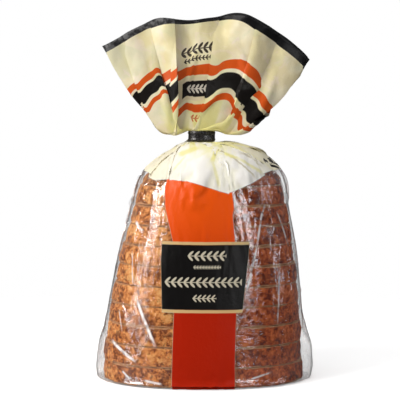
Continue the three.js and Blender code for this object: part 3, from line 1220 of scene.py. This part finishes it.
def settle(thing):
    """Lets the film relax to its flat size round the bread, and keeps the result."""
    form = loaf_form()
    for solid in (form, floor):
        solid.modifiers.new("solid", "COLLISION")
        solid.collision.thickness_outer = 0.0006
        solid.collision.cloth_friction = 3
    hold_film(thing)
    flat_key = flat_tube(thing)
    cloth = thing.modifiers.new("settle", "CLOTH")
    for name, value in CLOTH.items():
        setattr(cloth.settings, name, value)
    cloth.settings.rest_shape_key = flat_key
    cloth.settings.effector_weights.gravity = 0.0
    cloth.collision_settings.use_collision = True
    cloth.collision_settings.distance_min = 0.001
    cloth.collision_settings.collision_quality = 3
    cloth.point_cache.frame_start = 1
    cloth.point_cache.frame_end = SETTLE_FRAMES
    scene = bpy.context.scene
    for number in range(1, SETTLE_FRAMES + 1):
        scene.frame_set(number)
    view = bpy.context.evaluated_depsgraph_get()
    settled = bpy.data.meshes.new_from_object(thing.evaluated_get(view), depsgraph=view)
    thing.modifiers.clear()
    thing.shape_key_clear()
    thing.data = settled
    for solid in (form, floor):
        solid.modifiers.clear()
    bpy.data.objects.remove(form)
    scene.frame_set(1)


before = np.array([v.co for v in film.data.vertices])
settle(film)
moved = np.linalg.norm(np.array([v.co for v in film.data.vertices]) - before, axis=1)
print("film settled, moved", round(moved.mean() / MM, 4), "mm, most", round(moved.max() / MM, 3))

# %% [markdown]
# ## Sharp creases
#
# Handled film keeps straight, sharp creases that a simulation this coarse can't find. They
# could be drawn in a bump map, but a highlight breaks best on real shape, so each crease
# moves the film out along a line of the flat bag. Every point also learns how deep it lies
# between folds, for the ink to use, and folds that turn sharply are shaded as sharp edges.

# %% Press in the sharp creases
# Each crease runs from one flat place (across, up) to another, in millimetres, with its height.
BODY_CREASES = [
    ((-66, 66), (-43, 22), 1.2), ((-84, 44), (-60, 16), 1.3), ((-50, 112), (-76, 62), 0.9),
    ((-30, 44), (-50, 8), 0.7), ((38, 128), (57, 84), 1.0), ((57, 84), (50, 30), 0.7),
    ((66, 120), (84, 70), 0.9), ((84, 70), (74, 22), 0.8), ((44, 60), (66, 46), 0.6),
    ((-150, 100), (-120, 40), 1.0), ((140, 120), (165, 60), 1.0), ((175, 50), (150, 14), 0.9),
    ((110, 90), (128, 30), 0.8), ((-175, 60), (-160, 18), 0.8),
    ((-185, -8), (-185, 290), 0.5), ((185, -8), (185, 290), 0.35),
]
FAN_CREASES = [
    ((22, 290), (47, 262), 1.9), ((47, 262), (42, 230), 1.6), ((-72, 286), (-54, 256), 1.6),
    ((-54, 256), (-62, 226), 1.3), ((-4, 288), (-15, 242), 1.3), ((72, 284), (86, 240), 1.6),
    ((32, 250), (10, 220), 1.2), ((66, 270), (38, 240), 1.2), ((-30, 240), (-46, 214), 1.1),
    ((-140, 286), (-118, 236), 1.6), ((130, 284), (150, 240), 1.6), ((170, 280), (160, 230), 1.3),
]
CREASE_WIDTHS = [(BODY_CREASES, 1.5), (FAN_CREASES, 2.4)]


def crease_heights():
    """How many millimetres each film point is raised by the creases near it."""
    across = FLAT_ROUND[film_columns] / MM
    up = (flat_up[film_rows] - flat_up[FOOT_ROW]) / MM
    raised = np.zeros(len(across))
    for creases, width in CREASE_WIDTHS:
        for start, end, high in creases:
            line = np.array(end) - start
            share = ((across - start[0]) * line[0] + (up - start[1]) * line[1]) / (line @ line)
            share = np.clip(share, 0, 1)
            off = np.hypot(across - start[0] - share * line[0], up - start[1] - share * line[1])
            raised += high * np.exp(-(off / width) ** 2) * np.sin(math.pi * share) ** 0.6
    return raised


for vert, rise in zip(film.data.vertices, crease_heights()):
    if rise > 0.02:
        vert.co += vert.normal * rise * MM
print(len(BODY_CREASES) + len(FAN_CREASES), "creases pressed into the film")

# %% Mark the valleys and the sharp folds
SHARP_FOLD = math.radians(50)
VALLEY_REACH = 9
VALLEY_DEPTH = 1.6 * MM


def valley_depths(thing):
    """How deep each film point lies between the folds beside it, from -1 to 1."""
    spots = np.array([v.co for v in thing.data.vertices])
    grid = np.zeros((film_rows.max() + 1, FILM_STEPS, 3))
    grid[film_rows, film_columns] = spots
    middle = grid[:, :, :2].mean(1, keepdims=True)
    far = np.linalg.norm(grid[:, :, :2] - middle, axis=2)
    near_by = range(-VALLEY_REACH, VALLEY_REACH + 1)
    smooth = sum(np.roll(far, k, axis=1) for k in near_by) / len(near_by)
    return np.clip((smooth - far) / VALLEY_DEPTH, -1, 1)[film_rows, film_columns]


layer = film.data.attributes.new("valley", "FLOAT", "POINT")
layer.data.foreach_set("value", valley_depths(film))
film.data.set_sharp_from_angle(angle=SHARP_FOLD)
print("valleys marked on", len(film.data.vertices), "points")

# %% [markdown]
# ## Places on the flat film
#
# Print is laid out on flat film. So every printed shape below is measured in millimetres:
# across the bag from the middle of its front, and up it from the loaf's foot or from the tie.
# The print could be one painted image, but its edges would blur close by and its sizes would
# be hidden. Worked out from the UV map, each edge stays sharp and each size is a number.

# %% Flat places
FOOT_UP = flat_up[FOOT_ROW] / MM
TIE_UP = FLAT_NECK / MM
FILM_UP = film_length / MM

look = Look(bpy.data.materials.new("printed_clear_film"))
u, v, _ = look.parts(look.node("UVMap", uv_map="flat_bag").outputs[0])
across = look.times(look.minus(u, 0.5), ROUND_BAG / MM)
up = look.times(v, FILM_UP)
from_foot = look.minus(up, FOOT_UP)
from_tie = look.minus(up, TIE_UP)
place = look.node("TexCoord").outputs["Object"]
ripple = look.noise(place, 60, 2, 0.5)
wavy = look.times(look.minus(ripple, 0.5), 6)
crinkle_spots = look.noise(place, 160, 3, 0.6)
print("the tie lies", round(TIE_UP - FOOT_UP), "mm above the loaf's foot, along the film")


# %% Curves and strokes
def curve(value, points, low, high):
    """Follows a drawn curve through (value, result) points, between low and high."""
    made = look.node("FloatCurve")
    start, end = points[0][0], points[-1][0]
    drawn = made.mapping.curves[0].points
    spots = [((at - start) / (end - start), (result - low) / (high - low)) for at, result in points]
    drawn[0].location = spots[0]
    drawn[1].location = spots[-1]
    for spot in spots[1:-1]:
        drawn.new(*spot)
    made.mapping.update()
    share = look.sum_of("DIVIDE", look.minus(value, start), end - start)
    look.feed(made.inputs["Value"], look.least(look.most(share, 0.0), 1.0))
    return look.plus(look.times(made.outputs[0], high - low), low)


def stroke(start, end, half_width):
    """1 along a straight line between two flat places, fading beside it and at its ends."""
    run, climb = end[0] - start[0], end[1] - start[1]
    length = math.hypot(run, climb)
    beyond = look.minus(across, start[0])
    above = look.minus(from_foot, start[1])
    share = look.plus(look.times(beyond, run / length ** 2), look.times(above, climb / length ** 2))
    off = look.minus(look.times(beyond, climb / length), look.times(above, run / length))
    beside = look.step(look.size(off), 0.2 * half_width, half_width, 1.0, 0.0)
    return look.times(beside, look.between(share, 0.12, 0.88, 0.12))


print("curves and strokes can be drawn on", round(FILM_UP), "mm of film")

# %% [markdown]
# ## Cream, band and panel
#
# Three fields cover the front. Cream runs over the shoulder, the neck and the fan, and ends
# below in an uneven edge. An orange band climbs to it from the foot and turns red there. A
# dark panel between two tan rules lies across the band. Straight edges would look stuck on,
# so each one leans or flares as gathered film makes it do.

# %% Where the cream ends
EDGE_LOWEST = (12.0, 131.0)
# How fast the edge climbs away from its lowest place, and how far at most, in millimetres.
LEFT_CLIMB = (0.34, 9.5)
RIGHT_CLIMB = (0.40, 17.0)
EDGE_SOFT = 0.4


def climb(beyond, speed, most):
    return look.least(look.times(look.most(beyond, 0.0), speed), most)


left_climb = climb(look.minus(EDGE_LOWEST[0], across), *LEFT_CLIMB)
left_climb = look.plus(left_climb, look.step(across, -64, -42, 6.0, 0.0))
right_climb = climb(look.minus(across, EDGE_LOWEST[0]), *RIGHT_CLIMB)
edge = look.plus(look.plus(left_climb, right_climb), EDGE_LOWEST[1])
edge = look.plus(edge, look.times(wavy, look.step(look.size(across), 20, 40, 0.1, 0.5)))
cream = look.step(look.minus(from_foot, edge), -EDGE_SOFT, EDGE_SOFT)
print("cream ends", EDGE_LOWEST[1], "mm above the foot at its lowest")

# %% The band and the panel
BAND_RED, BAND_ORANGE = (0.41, 0.013, 0.0005), (0.78, 0.085, 0.002)
PANEL = (53.9, 96.8)
RULES = [(96.8, 98.8), (51.8, 53.9)]
PANEL_SPREAD = 0.075
RULE_SOFT = 0.25

flare = look.step(from_foot, 78, 140, 0.0, -13.0)
narrowing = look.step(from_foot, 66, 130, 0.0, 4.6)
band = look.times(look.step(look.minus(across, flare), -20.6, -20.0),
                  look.step(look.plus(across, narrowing), 20.4, 21.0, 1.0, 0.0))
band = look.times(band, look.minus(1.0, cream))
orange = look.mix(look.step(from_foot, 52, 128), BAND_RED, BAND_ORANGE)
# The panel is cut a little wider at its top, where the film is gathered.
widen = look.times(look.minus(from_foot, 54), PANEL_SPREAD)
panel_width = look.times(look.step(look.plus(across, widen), -28.6, -28.1),
                         look.step(look.minus(across, widen), 24.4, 24.9, 1.0, 0.0))
panel = look.times(panel_width, look.between(from_foot, *PANEL, RULE_SOFT))
upper_rule, lower_rule = (look.between(from_foot, *ends, RULE_SOFT) for ends in RULES)
rule = look.times(panel_width, look.plus(upper_rule, lower_rule))
print("panel is", round(PANEL[1] - PANEL[0], 1), "mm tall")

# %% [markdown]
# ## Wheat grains
#
# Where a bag carries its lettering, this one has rows of plain wheat grains. They could be
# modelled as shapes on the film, but printed ink has no thickness. Each row is cut into
# cells by a remainder, and in every cell two ellipses slant away from a stalk.

# %% Wheat grains
# Each ear: its ends across the bag, where its stalk lies up it, the distance from grain to
# grain, half a grain's length and width, and how it slants.
PANEL_EARS = [
    (-27.5, 23.4, 72, 4.1, 2.5, 0.8, 0.8), (-13.2, 12.3, 89.5, 4.1, 2.4, 0.8, 0.8),
    (-8.5, 7, 61.5, 3.0, 1.8, 0.55, 0.8), (-9.0, 9.0, 82, 1.9, 0.9, 0.35, 0.8),
]
SHOULDER_EAR = (69, 122, 154, 6.4, 4.2, 1.7, 0.8)
STALK = 0.25


def wheat_ear(upright, low, high, at, pitch, length, width, slope):
    """Slanting grains in two rows along a stalk, a plain baker's ornament."""
    along = look.plus(look.minus(across, low), 40 * pitch)
    cell = look.minus(look.sum_of("MODULO", along, pitch), pitch / 2)
    off = look.size(look.minus(upright, at))
    off = look.minus(off, 0.9 * width + 0.5 * length * math.sin(slope))
    lean, rise = math.cos(slope), math.sin(slope)
    long_way = look.plus(look.times(cell, lean), look.times(off, rise))
    short_way = look.minus(look.times(off, lean), look.times(cell, rise))
    long_share = look.sum_of("DIVIDE", long_way, length)
    short_share = look.sum_of("DIVIDE", short_way, width)
    from_middle = look.plus(look.times(long_share, long_share), look.times(short_share, short_share))
    grains = look.step(from_middle, 0.75, 1.1, 1.0, 0.0)
    stalk = look.between(upright, at - STALK, at + STALK, 0.1)
    return look.times(look.most(grains, stalk), look.between(across, low, high, 0.1))


ears = 0.0
for ear in PANEL_EARS:
    ears = look.most(ears, wheat_ear(from_foot, *ear))
shoulder_ear = wheat_ear(from_foot, *SHOULDER_EAR)
print(len(PANEL_EARS), "rows of grains on the panel")

# %% [markdown]
# ## Stripes of the fan
# Three stripes run across the fan, orange, dark and orange, and a dark band ends the film at
# its mouth. Printed straight, they would have to be broken by folds that are finer than this
# mesh. So they follow a drawn curve instead, which lays them over the fan's lobes:
# higher and closer on the left lobe, lower and wide apart in the middle.

# %% Stripes
# Across the flat bag: how far above the tie the stripes lie, and how far apart they are.
STRIPE_RISE = [
    (-95, 47), (-70, 46.5), (-58, 45.5), (-39, 45), (-32, 43), (-20, 38.5), (-14, 35.5), (-9, 28.5),
    (-3, 24.5), (8, 24.5), (16, 27), (22, 31), (30, 36), (39, 36), (48, 32), (60, 35), (73, 39),
    (84, 31), (95, 36), (120, 39),
]
STRIPE_PITCH = [
    (-95, 0.97), (-70, 0.94), (-58, 0.93), (-45, 1.1), (-32, 1.2), (-20, 1.4), (-14, 1.45),
    (-8, 1.75), (-3, 1.85), (8, 1.83), (18, 1.69), (28, 1.42), (38, 1.62), (48, 1.8), (58, 1.5),
    (73, 1.1), (84, 1.3), (95, 1.2), (120, 1.0),
]
STRIPE_ZERO = 37.0
UPPER_ORANGE, DARK_STRIPE, LOWER_ORANGE = (51.9, 56.6), (41.3, 50.0), (34.8, 38.5)

above_stripe = look.minus(from_tie, curve(across, STRIPE_RISE, 20.0, 50.0))
stripe_reach = look.sum_of("DIVIDE", above_stripe, curve(across, STRIPE_PITCH, 0.8, 2.0))
stripe_reach = look.plus(look.plus(stripe_reach, STRIPE_ZERO), look.times(wavy, 0.2))
orange_stripes = look.plus(look.between(stripe_reach, *UPPER_ORANGE, 0.2),
                           look.between(stripe_reach, *LOWER_ORANGE, 0.2))
dark_stripe = look.between(stripe_reach, *DARK_STRIPE, 0.25)
band_depth = look.plus(look.step(across, -52, -28, 4.8, 3.1), look.step(across, 10, 46, 0.0, 4.3))
mouth_band = look.step(look.plus(up, band_depth), FILM_UP - 0.2, FILM_UP + 0.2)
print("stripes follow a curve of", len(STRIPE_RISE), "points")

# %% The badge and the ears of the fan
BADGE_GAP = (-22.0, 13.5)
BADGE_BAR = (-15.5, 11.5)
BADGE_SOFT = 0.3

# A badge breaks the dark stripe: a bar with grains on it, set off by cream at both ends.
badge_gap = look.times(look.between(across, *BADGE_GAP, BADGE_SOFT),
                       look.between(stripe_reach, 40.2, 51.0, 0.2))
badge_bar = look.times(look.between(across, *BADGE_BAR, BADGE_SOFT),
                       look.between(stripe_reach, 41.9, 49.2, 0.2))
badge_grains = look.times(wheat_ear(stripe_reach, -12.5, 9.5, 45.5, 2.8, 1.6, 0.6, 0.65), badge_bar)
small_grains = wheat_ear(stripe_reach, -9.0, 2.0, 32.0, 2.4, 1.2, 0.5, 0.8)
fan_ears = look.most(wheat_ear(stripe_reach, -17, 12.5, 64.2, 3.7, 2.1, 0.75, 0.6),
                     wheat_ear(stripe_reach, -15, 3, 59.7, 2.4, 1.0, 0.4, 0.6))
print("badge is", BADGE_BAR[1] - BADGE_BAR[0], "mm wide")

# %% [markdown]
# ## Cream ink
#
# Ink this thin takes its tone from what lies behind it. One layer looks pale, two or three
# folded over each other look yellow or tan. True see-through layers would show this by
# themselves, but only with many more folds than the mesh has. So the tones are mixed in
# along the folds: in the valleys of the mesh, near the tie, and along a few drawn lines.
# Near the tie and along the drawn lines these tones are partly layered ink and partly
# painted shade; in the valleys and along the tan lines they are painted shade. Greenish
# patches are painted shade too, and the near-white middle of the shoulder is a painted highlight.

# %% Cream tones
CREAM_DEEP, CREAM_LIGHT = (0.89, 0.79, 0.51), (0.95, 0.88, 0.65)
GREENISH_SHADE, ROSY = (0.74, 0.75, 0.52), (0.98, 0.84, 0.76)
SHOULDER_LEFT, SHOULDER_HIGHLIGHT = (0.86, 0.81, 0.64), (0.985, 0.975, 0.95)
SHOULDER_RIGHT = (0.95, 0.90, 0.70)

ink = look.mix(look.step(ripple, 0.4, 0.6), CREAM_DEEP, CREAM_LIGHT)
# Greenish patches, placed by noise: painted shade of the billowing film.
ink = look.mix(look.step(look.noise(place, 42, 2, 0.5, 1.2), 0.5, 0.62, 0.0, 0.45), ink, GREENISH_SHADE)
ink = look.mix(look.step(look.noise(place, 56, 3, 0.6, 2.2), 0.54, 0.64, 0.0, 0.4), ink, ROSY)
# Across the shoulder the cream is near white in the middle, a painted highlight, and darker towards both
# sides.
pale = look.mix(look.step(across, -55, -5), SHOULDER_LEFT, SHOULDER_HIGHLIGHT)
pale = look.mix(look.step(across, 35, 75), pale, SHOULDER_RIGHT)
on_shoulder = look.between(from_foot, 100, TIE_UP - FOOT_UP - 6, 6)
ink = look.mix(look.times(on_shoulder, 0.9), ink, pale)
print("cream runs from", CREAM_DEEP, "to", SHOULDER_HIGHLIGHT)

# %% Yellow where the film is bunched, partly painted shade
# The yellow is partly ink layered in the gathers and partly painted shade in them.
YELLOW_INK_AND_SHADE = (0.83, 0.79, 0.22)
# Where the film bunches beside the tie: its place across the bag and its half width.
BUNCHES = [(-82, 4), (-60, 5), (-43, 3), (-12, 2.5), (9, 4), (25, 2.5), (46, 4), (64, 5), (86, 4)]

# The tie took in more film at the front's middle, so the gathers reach further there.
from_gathers = look.size(look.plus(from_tie, look.step(look.size(across), 14, 40, 6.5, 0.0)))
bunched = look.times(look.step(from_gathers, 2, 30, 1.0, 0.0), 0.4)
beside_tie = look.step(from_gathers, 14, 42, 1.0, 0.0)
for at, half_width in BUNCHES:
    here = look.between(across, at - half_width, at + half_width, 1.6)
    bunched = look.most(bunched, look.times(here, beside_tie))
strands = look.made_of("CombineXYZ", X=look.times(across, 0.16), Y=look.times(up, 0.018))
streak = look.step(look.noise(strands, 1.0, 3, 0.6), 0.48, 0.62)
valley = look.step(look.node("Attribute", attribute_name="valley").outputs["Fac"], -0.1, 0.6)
in_bunches = look.times(bunched, look.plus(look.times(streak, 0.4), 0.6))
# In the valleys of the mesh the yellow is painted shade.
valley_shade = look.times(valley, look.step(from_gathers, 22, 48, 0.6, 0.15))
ink = look.mix(look.most(in_bunches, valley_shade), ink, YELLOW_INK_AND_SHADE)
print(len(BUNCHES), "bunches beside the tie")

# %% Folds drawn over the shoulder
# Folds painted in, partly layered ink and partly painted shade: start, end, half width and strength.
YELLOW_FOLDS = [
    ((-6, 175), (-24, 162), 4.0, 0.75), ((6, 178), (0, 154), 2.4, 0.85), ((0, 158), (6, 134), 1.6, 0.5),
    ((13, 177), (32, 158), 3.0, 0.85), ((29, 161), (43, 144), 2.2, 0.6),
    ((-16, 164), (-27, 146), 1.2, 0.4),
]
# The tan lines are painted shade in the deepest folds.
TAN_FOLD_SHADE = [
    ((1, 172), (12, 164.5), 1.2, 0.7), ((25.5, 164), (35.5, 140.5), 1.2, 0.6),
    ((33, 169), (51, 150.5), 2.4, 0.5),
]
FOLD_TONES = [(YELLOW_FOLDS, (0.85, 0.80, 0.28)), (TAN_FOLD_SHADE, (0.42, 0.35, 0.17))]

for folds, tone in FOLD_TONES:
    for start, end, half_width, strength in folds:
        ink = look.mix(look.times(stroke(start, end, half_width), strength), ink, tone)
print(len(YELLOW_FOLDS) + len(TAN_FOLD_SHADE), "folds drawn over the shoulder")

# %% [markdown]
# ## Inks over the cream
#
# The other inks lie on the cream and on bare film, each one covering what is under it. They
# could each be a material of their own, but then every edge would need a cut in the mesh.
# Mixed in turn into one colour, they need only their masks, in the order of the press.

# %% Inks in the order they are printed
BLACK = (0.012, 0.01, 0.009)
MOUTH_BLACK, MOUTH_WORN = (0.01, 0.01, 0.011), (0.2, 0.2, 0.2)

worn = look.times(look.step(across, -15, -45), look.step(crinkle_spots, 0.42, 0.6, 0.1, 0.75))
mouth_ink = look.mix(worn, MOUTH_BLACK, MOUTH_WORN)
INKS = [
    (band, orange),
    (orange_stripes, (0.74, 0.108, 0.014)),
    (dark_stripe, BLACK),
    (mouth_band, mouth_ink),
    (badge_gap, (0.84, 0.74, 0.5)),
    (badge_bar, (0.014, 0.011, 0.01)),
    (badge_grains, (0.75, 0.7, 0.6)),
    (small_grains, (0.62, 0.22, 0.09)),
    (fan_ears, (0.07, 0.055, 0.04)),
    (rule, (0.62, 0.42, 0.19)),
    (panel, (0.004, 0.0035, 0.0035)),
    (ears, (0.55, 0.50, 0.38)),
    (shoulder_ear, (0.02, 0.016, 0.015)),
]
for mask, tone in INKS:
    ink = look.mix(mask, ink, tone)
printed = look.most(look.most(cream, band), look.most(rule, panel))
print(len(INKS), "inks over the cream")

# %% [markdown]
# ## Clear film
#
# Bare film lets almost all light through and mirrors a little, more where it is seen at a
# slant. A glass shader would bend the light at both faces and cost many bounces. Film this
# thin bends nothing, so a clear shader mixed with a mirror does the same work. Along some
# creases the film is painted pale pink, a painted highlight of the lamps' glare.

# %% Clear film
MIRROR_LEAST = 0.05
MIRROR_AT_EDGE = 0.58
SEAM = (184.5, 192)
SEAM_MIRROR = 0.05

bump = look.bump(look.noise(place, 240, 3, 0.6, 1.5), 0.25, 0.0008)
facing = look.node("LayerWeight")
look.feed(facing.inputs["Blend"], 0.5)
look.feed(facing.inputs["Normal"], bump)
slant = look.sum_of("POWER", facing.outputs["Facing"], 4.0)
seam = look.between(look.size(across), *SEAM, 0.4)
mirror_share = look.plus(look.times(seam, SEAM_MIRROR), MIRROR_LEAST)
mirror_share = look.plus(look.times(slant, MIRROR_AT_EDGE), mirror_share)
clear = look.made_of("BsdfTransparent", Color=(0.985, 0.985, 0.985))
gloss = look.skin((0.95, 0.95, 0.97), 0.13, Metallic=1.0, Normal=bump)
bare_film = look.blend(mirror_share, clear, gloss)
print("film mirrors", MIRROR_LEAST, "face on and", MIRROR_LEAST + MIRROR_AT_EDGE, "at its edge")

# %% Painted highlights along creases
# Lines along creases where highlights are painted on the clear film: start, end, half width and strength.
HIGHLIGHT_CREASES = [
    ((-48, 62), (-31, 27), 1.6, 0.85), ((-68, 30), (-44, 17), 1.7, 0.9), ((-57, 111), (-46, 103), 1.8, 0.8),
    ((-55, 92), (-50, 67), 0.9, 0.5), ((-62, 52), (-57, 36), 0.8, 0.4), ((38, 126), (33, 96), 1.2, 0.6),
    ((34, 99), (26, 62), 1.0, 0.55), ((50, 120), (61, 93), 1.1, 0.55), ((51, 84), (50, 40), 0.9, 0.4),
    ((-40, 6), (-26, 4), 1.2, 0.6), ((30, 7), (46, 11), 1.0, 0.5), ((-56, 11), (-48, 5), 1.1, 0.6),
]

painted_highlight = 0.0
for start, end, half_width, strength in HIGHLIGHT_CREASES:
    painted_highlight = look.most(painted_highlight, look.times(stroke(start, end, half_width), strength))
painted_highlight = look.times(painted_highlight, look.step(crinkle_spots, 0.36, 0.55, 0.35, 1.0))
# Pale pink film along the creases stands for the lamps' glare: a painted highlight.
highlight_film = look.skin((0.93, 0.86, 0.83), 0.3)
bare_film = look.blend(painted_highlight, bare_film, highlight_film)
print(len(HIGHLIGHT_CREASES), "white creases")

# %% [markdown]
# ## Film wall and finish
#
# The printed and the bare film are one sheet, so one mask chooses between them. Pale ink on
# thin film lets some light through, which warms the folds. The sheet has no thickness yet.
# Real film is thinner than a hair. A wall of that size could be modelled by hand, but a
# modifier gives both faces at once and follows every fold.

# %% Assemble the film
FILM_WALL = 0.12 * MM
INK_LETS_THROUGH = 0.2

solid_ink = look.skin(ink, 0.34, Normal=bump, Specular_IOR_Level=0.14)
through = look.made_of("BsdfTranslucent", Color=ink)
inked = look.blend(look.times(cream, INK_LETS_THROUGH), solid_ink, through)
film.data.materials.append(look.surface(look.blend(printed, bare_film, inked)))
wall = film.modifiers.new("wall", "SOLIDIFY")
wall.thickness = FILM_WALL
wall.offset = 0
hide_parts("film_bag")
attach(film, "root")
print("film finish has", len(look.tree.nodes), "nodes")

# %% [markdown]
# ## The tie
#
# The tie is a flat plastic strip over two thin wires. It goes once round the gathered film and
# its two ends are pressed together behind. The wires show as two ridges along the strip. It
# could be a band cut from a tube, but the ridges are what catches the light, so the strip's
# cross section is drawn once and carried along its path, ring by ring, like the other skins.

# %% The strip's cross section
TIE_HALF_HEIGHT = (tie_high.z - tie_low.z) / 2
TIE_MIDDLE_Z = (tie_high.z + tie_low.z) / 2
STRIP_HALF = 0.28 * MM
WIRE_RADIUS = 0.36 * MM
WIRE_AT = 2.3 * MM
WIRE_SPREAD = 0.55 * MM
SECTION_STEPS = 40


def strip_section():
    """(out, up) places round the strip's cross section, with a wire ridge near each edge."""
    places = []
    for i in range(SECTION_STEPS):
        turn = 2 * math.pi * i / SECTION_STEPS
        up = TIE_HALF_HEIGHT * signed_power(math.sin(turn), 0.75)
        wire = sum(math.exp(-((up - at) / WIRE_SPREAD) ** 2) for at in (-WIRE_AT, WIRE_AT))
        round_edge = math.sqrt(max(0.0, 1 - (up / TIE_HALF_HEIGHT) ** 8))
        out = signed_power(math.cos(turn), 0.2) * round_edge * (STRIP_HALF + WIRE_RADIUS * wire)
        places.append((out, up))
    return places


print("strip is", round(2 * TIE_HALF_HEIGHT / MM, 1), "mm wide")

# %% The strip's path
TIE_HALF = (8.75 * MM, 5.95 * MM)
TAIL_START = TIE_HALF[1] * 0.97
TAIL_REACH = tie_high.y - 0.3 * MM - MIDDLE_Y - TAIL_START
TAIL_APART = 0.42 * MM
TAIL_SPLAY = 0.5 * MM
TAIL_TURN = math.radians(4)
LOOP_STEPS = 72
TAIL_STEPS = 14


def tail(share, side):
    """A place on one of the two tails, from the loop (share 0) to the tail's end (share 1)."""
    x = side * (TAIL_APART + TAIL_SPLAY * share ** 2)
    return x, TAIL_START + TAIL_REACH * share, side, 0, -side * share


def tie_path():
    """(x, y, outward x, outward y, splay) along the strip, from one tail end round to the other."""
    path = [tail(1 - i / TAIL_STEPS, -1) for i in range(TAIL_STEPS)]
    for i in range(LOOP_STEPS + 1):
        turn = math.pi / 2 + TAIL_TURN + (2 * math.pi - 2 * TAIL_TURN) * i / LOOP_STEPS
        x, y = TIE_HALF[0] * math.cos(turn), TIE_HALF[1] * math.sin(turn)
        normal = Vector((math.cos(turn) / TIE_HALF[0], math.sin(turn) / TIE_HALF[1])).normalized()
        path.append((x, y, normal.x, normal.y, 0.0))
    return path + [tail(i / TAIL_STEPS, 1) for i in range(1, TAIL_STEPS + 1)]


print(len(tie_path()), "rings along the strip")

# %% Shape of the tie
DENT = 0.12 * MM
CRIMP = 0.1 * MM


def neck_tie():
    """The strip's cross section, carried along its path with small dents and crimps."""
    bm = bmesh.new()
    ring = None
    for number, (x, y, out_x, out_y, splay) in enumerate(tie_path()):
        dent = DENT * noise.noise(Vector((number * 0.35, 0, 1.7)))
        tilt = 0.09 * splay + 0.03 * noise.noise(Vector((number * 0.2, 3.1, 0)))
        points = []
        for out, up in strip_section():
            crimp = dent + CRIMP * noise.noise(Vector((number * 0.5, up / (1.5 * MM), 0)))
            away = out + crimp + tilt * up
            spot = (NECK_X + x + out_x * away, MIDDLE_Y + y + out_y * away, TIE_MIDDLE_Z + up)
            points.append(Vector(spot))
        ring = add_ring(bm, ring, points)
    close_ring(bm, ring)
    return finish_mesh(bm, "tie_strip")


tie = neck_tie()
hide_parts("neck_tie")
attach(tie, "root")
print("tie has", len(tie.data.polygons), "faces")

# %% [markdown]
# ## Tie finish
#
# The strip is black plastic, drawn through a die, so it is glossy with fine lines and a few
# dull scuffs. One plain black would do from afar. Two noises, a coarse one for the scuffs and
# a fine one for the drawn lines, keep it alive close by.

# %% Tie finish
TIE_BLACK, TIE_SCUFFED = (0.008, 0.007, 0.007), (0.03, 0.029, 0.028)

look = Look(bpy.data.materials.new("black_tie_plastic"))
place = look.node("TexCoord").outputs["Object"]
scuffs = look.noise(place, 900, 4, 0.6)
drawn = look.noise(place, 2600, 2, 0.5)
black = look.mix(look.step(scuffs, 0.55, 0.75), TIE_BLACK, TIE_SCUFFED)
dull = look.step(scuffs, 0.35, 0.7, 0.2, 0.42)
tie.data.materials.append(look.surface(look.skin(black, dull, Normal=look.bump(drawn, 0.25, 0.0003))))
print("tie finish has", len(look.tree.nodes), "nodes")
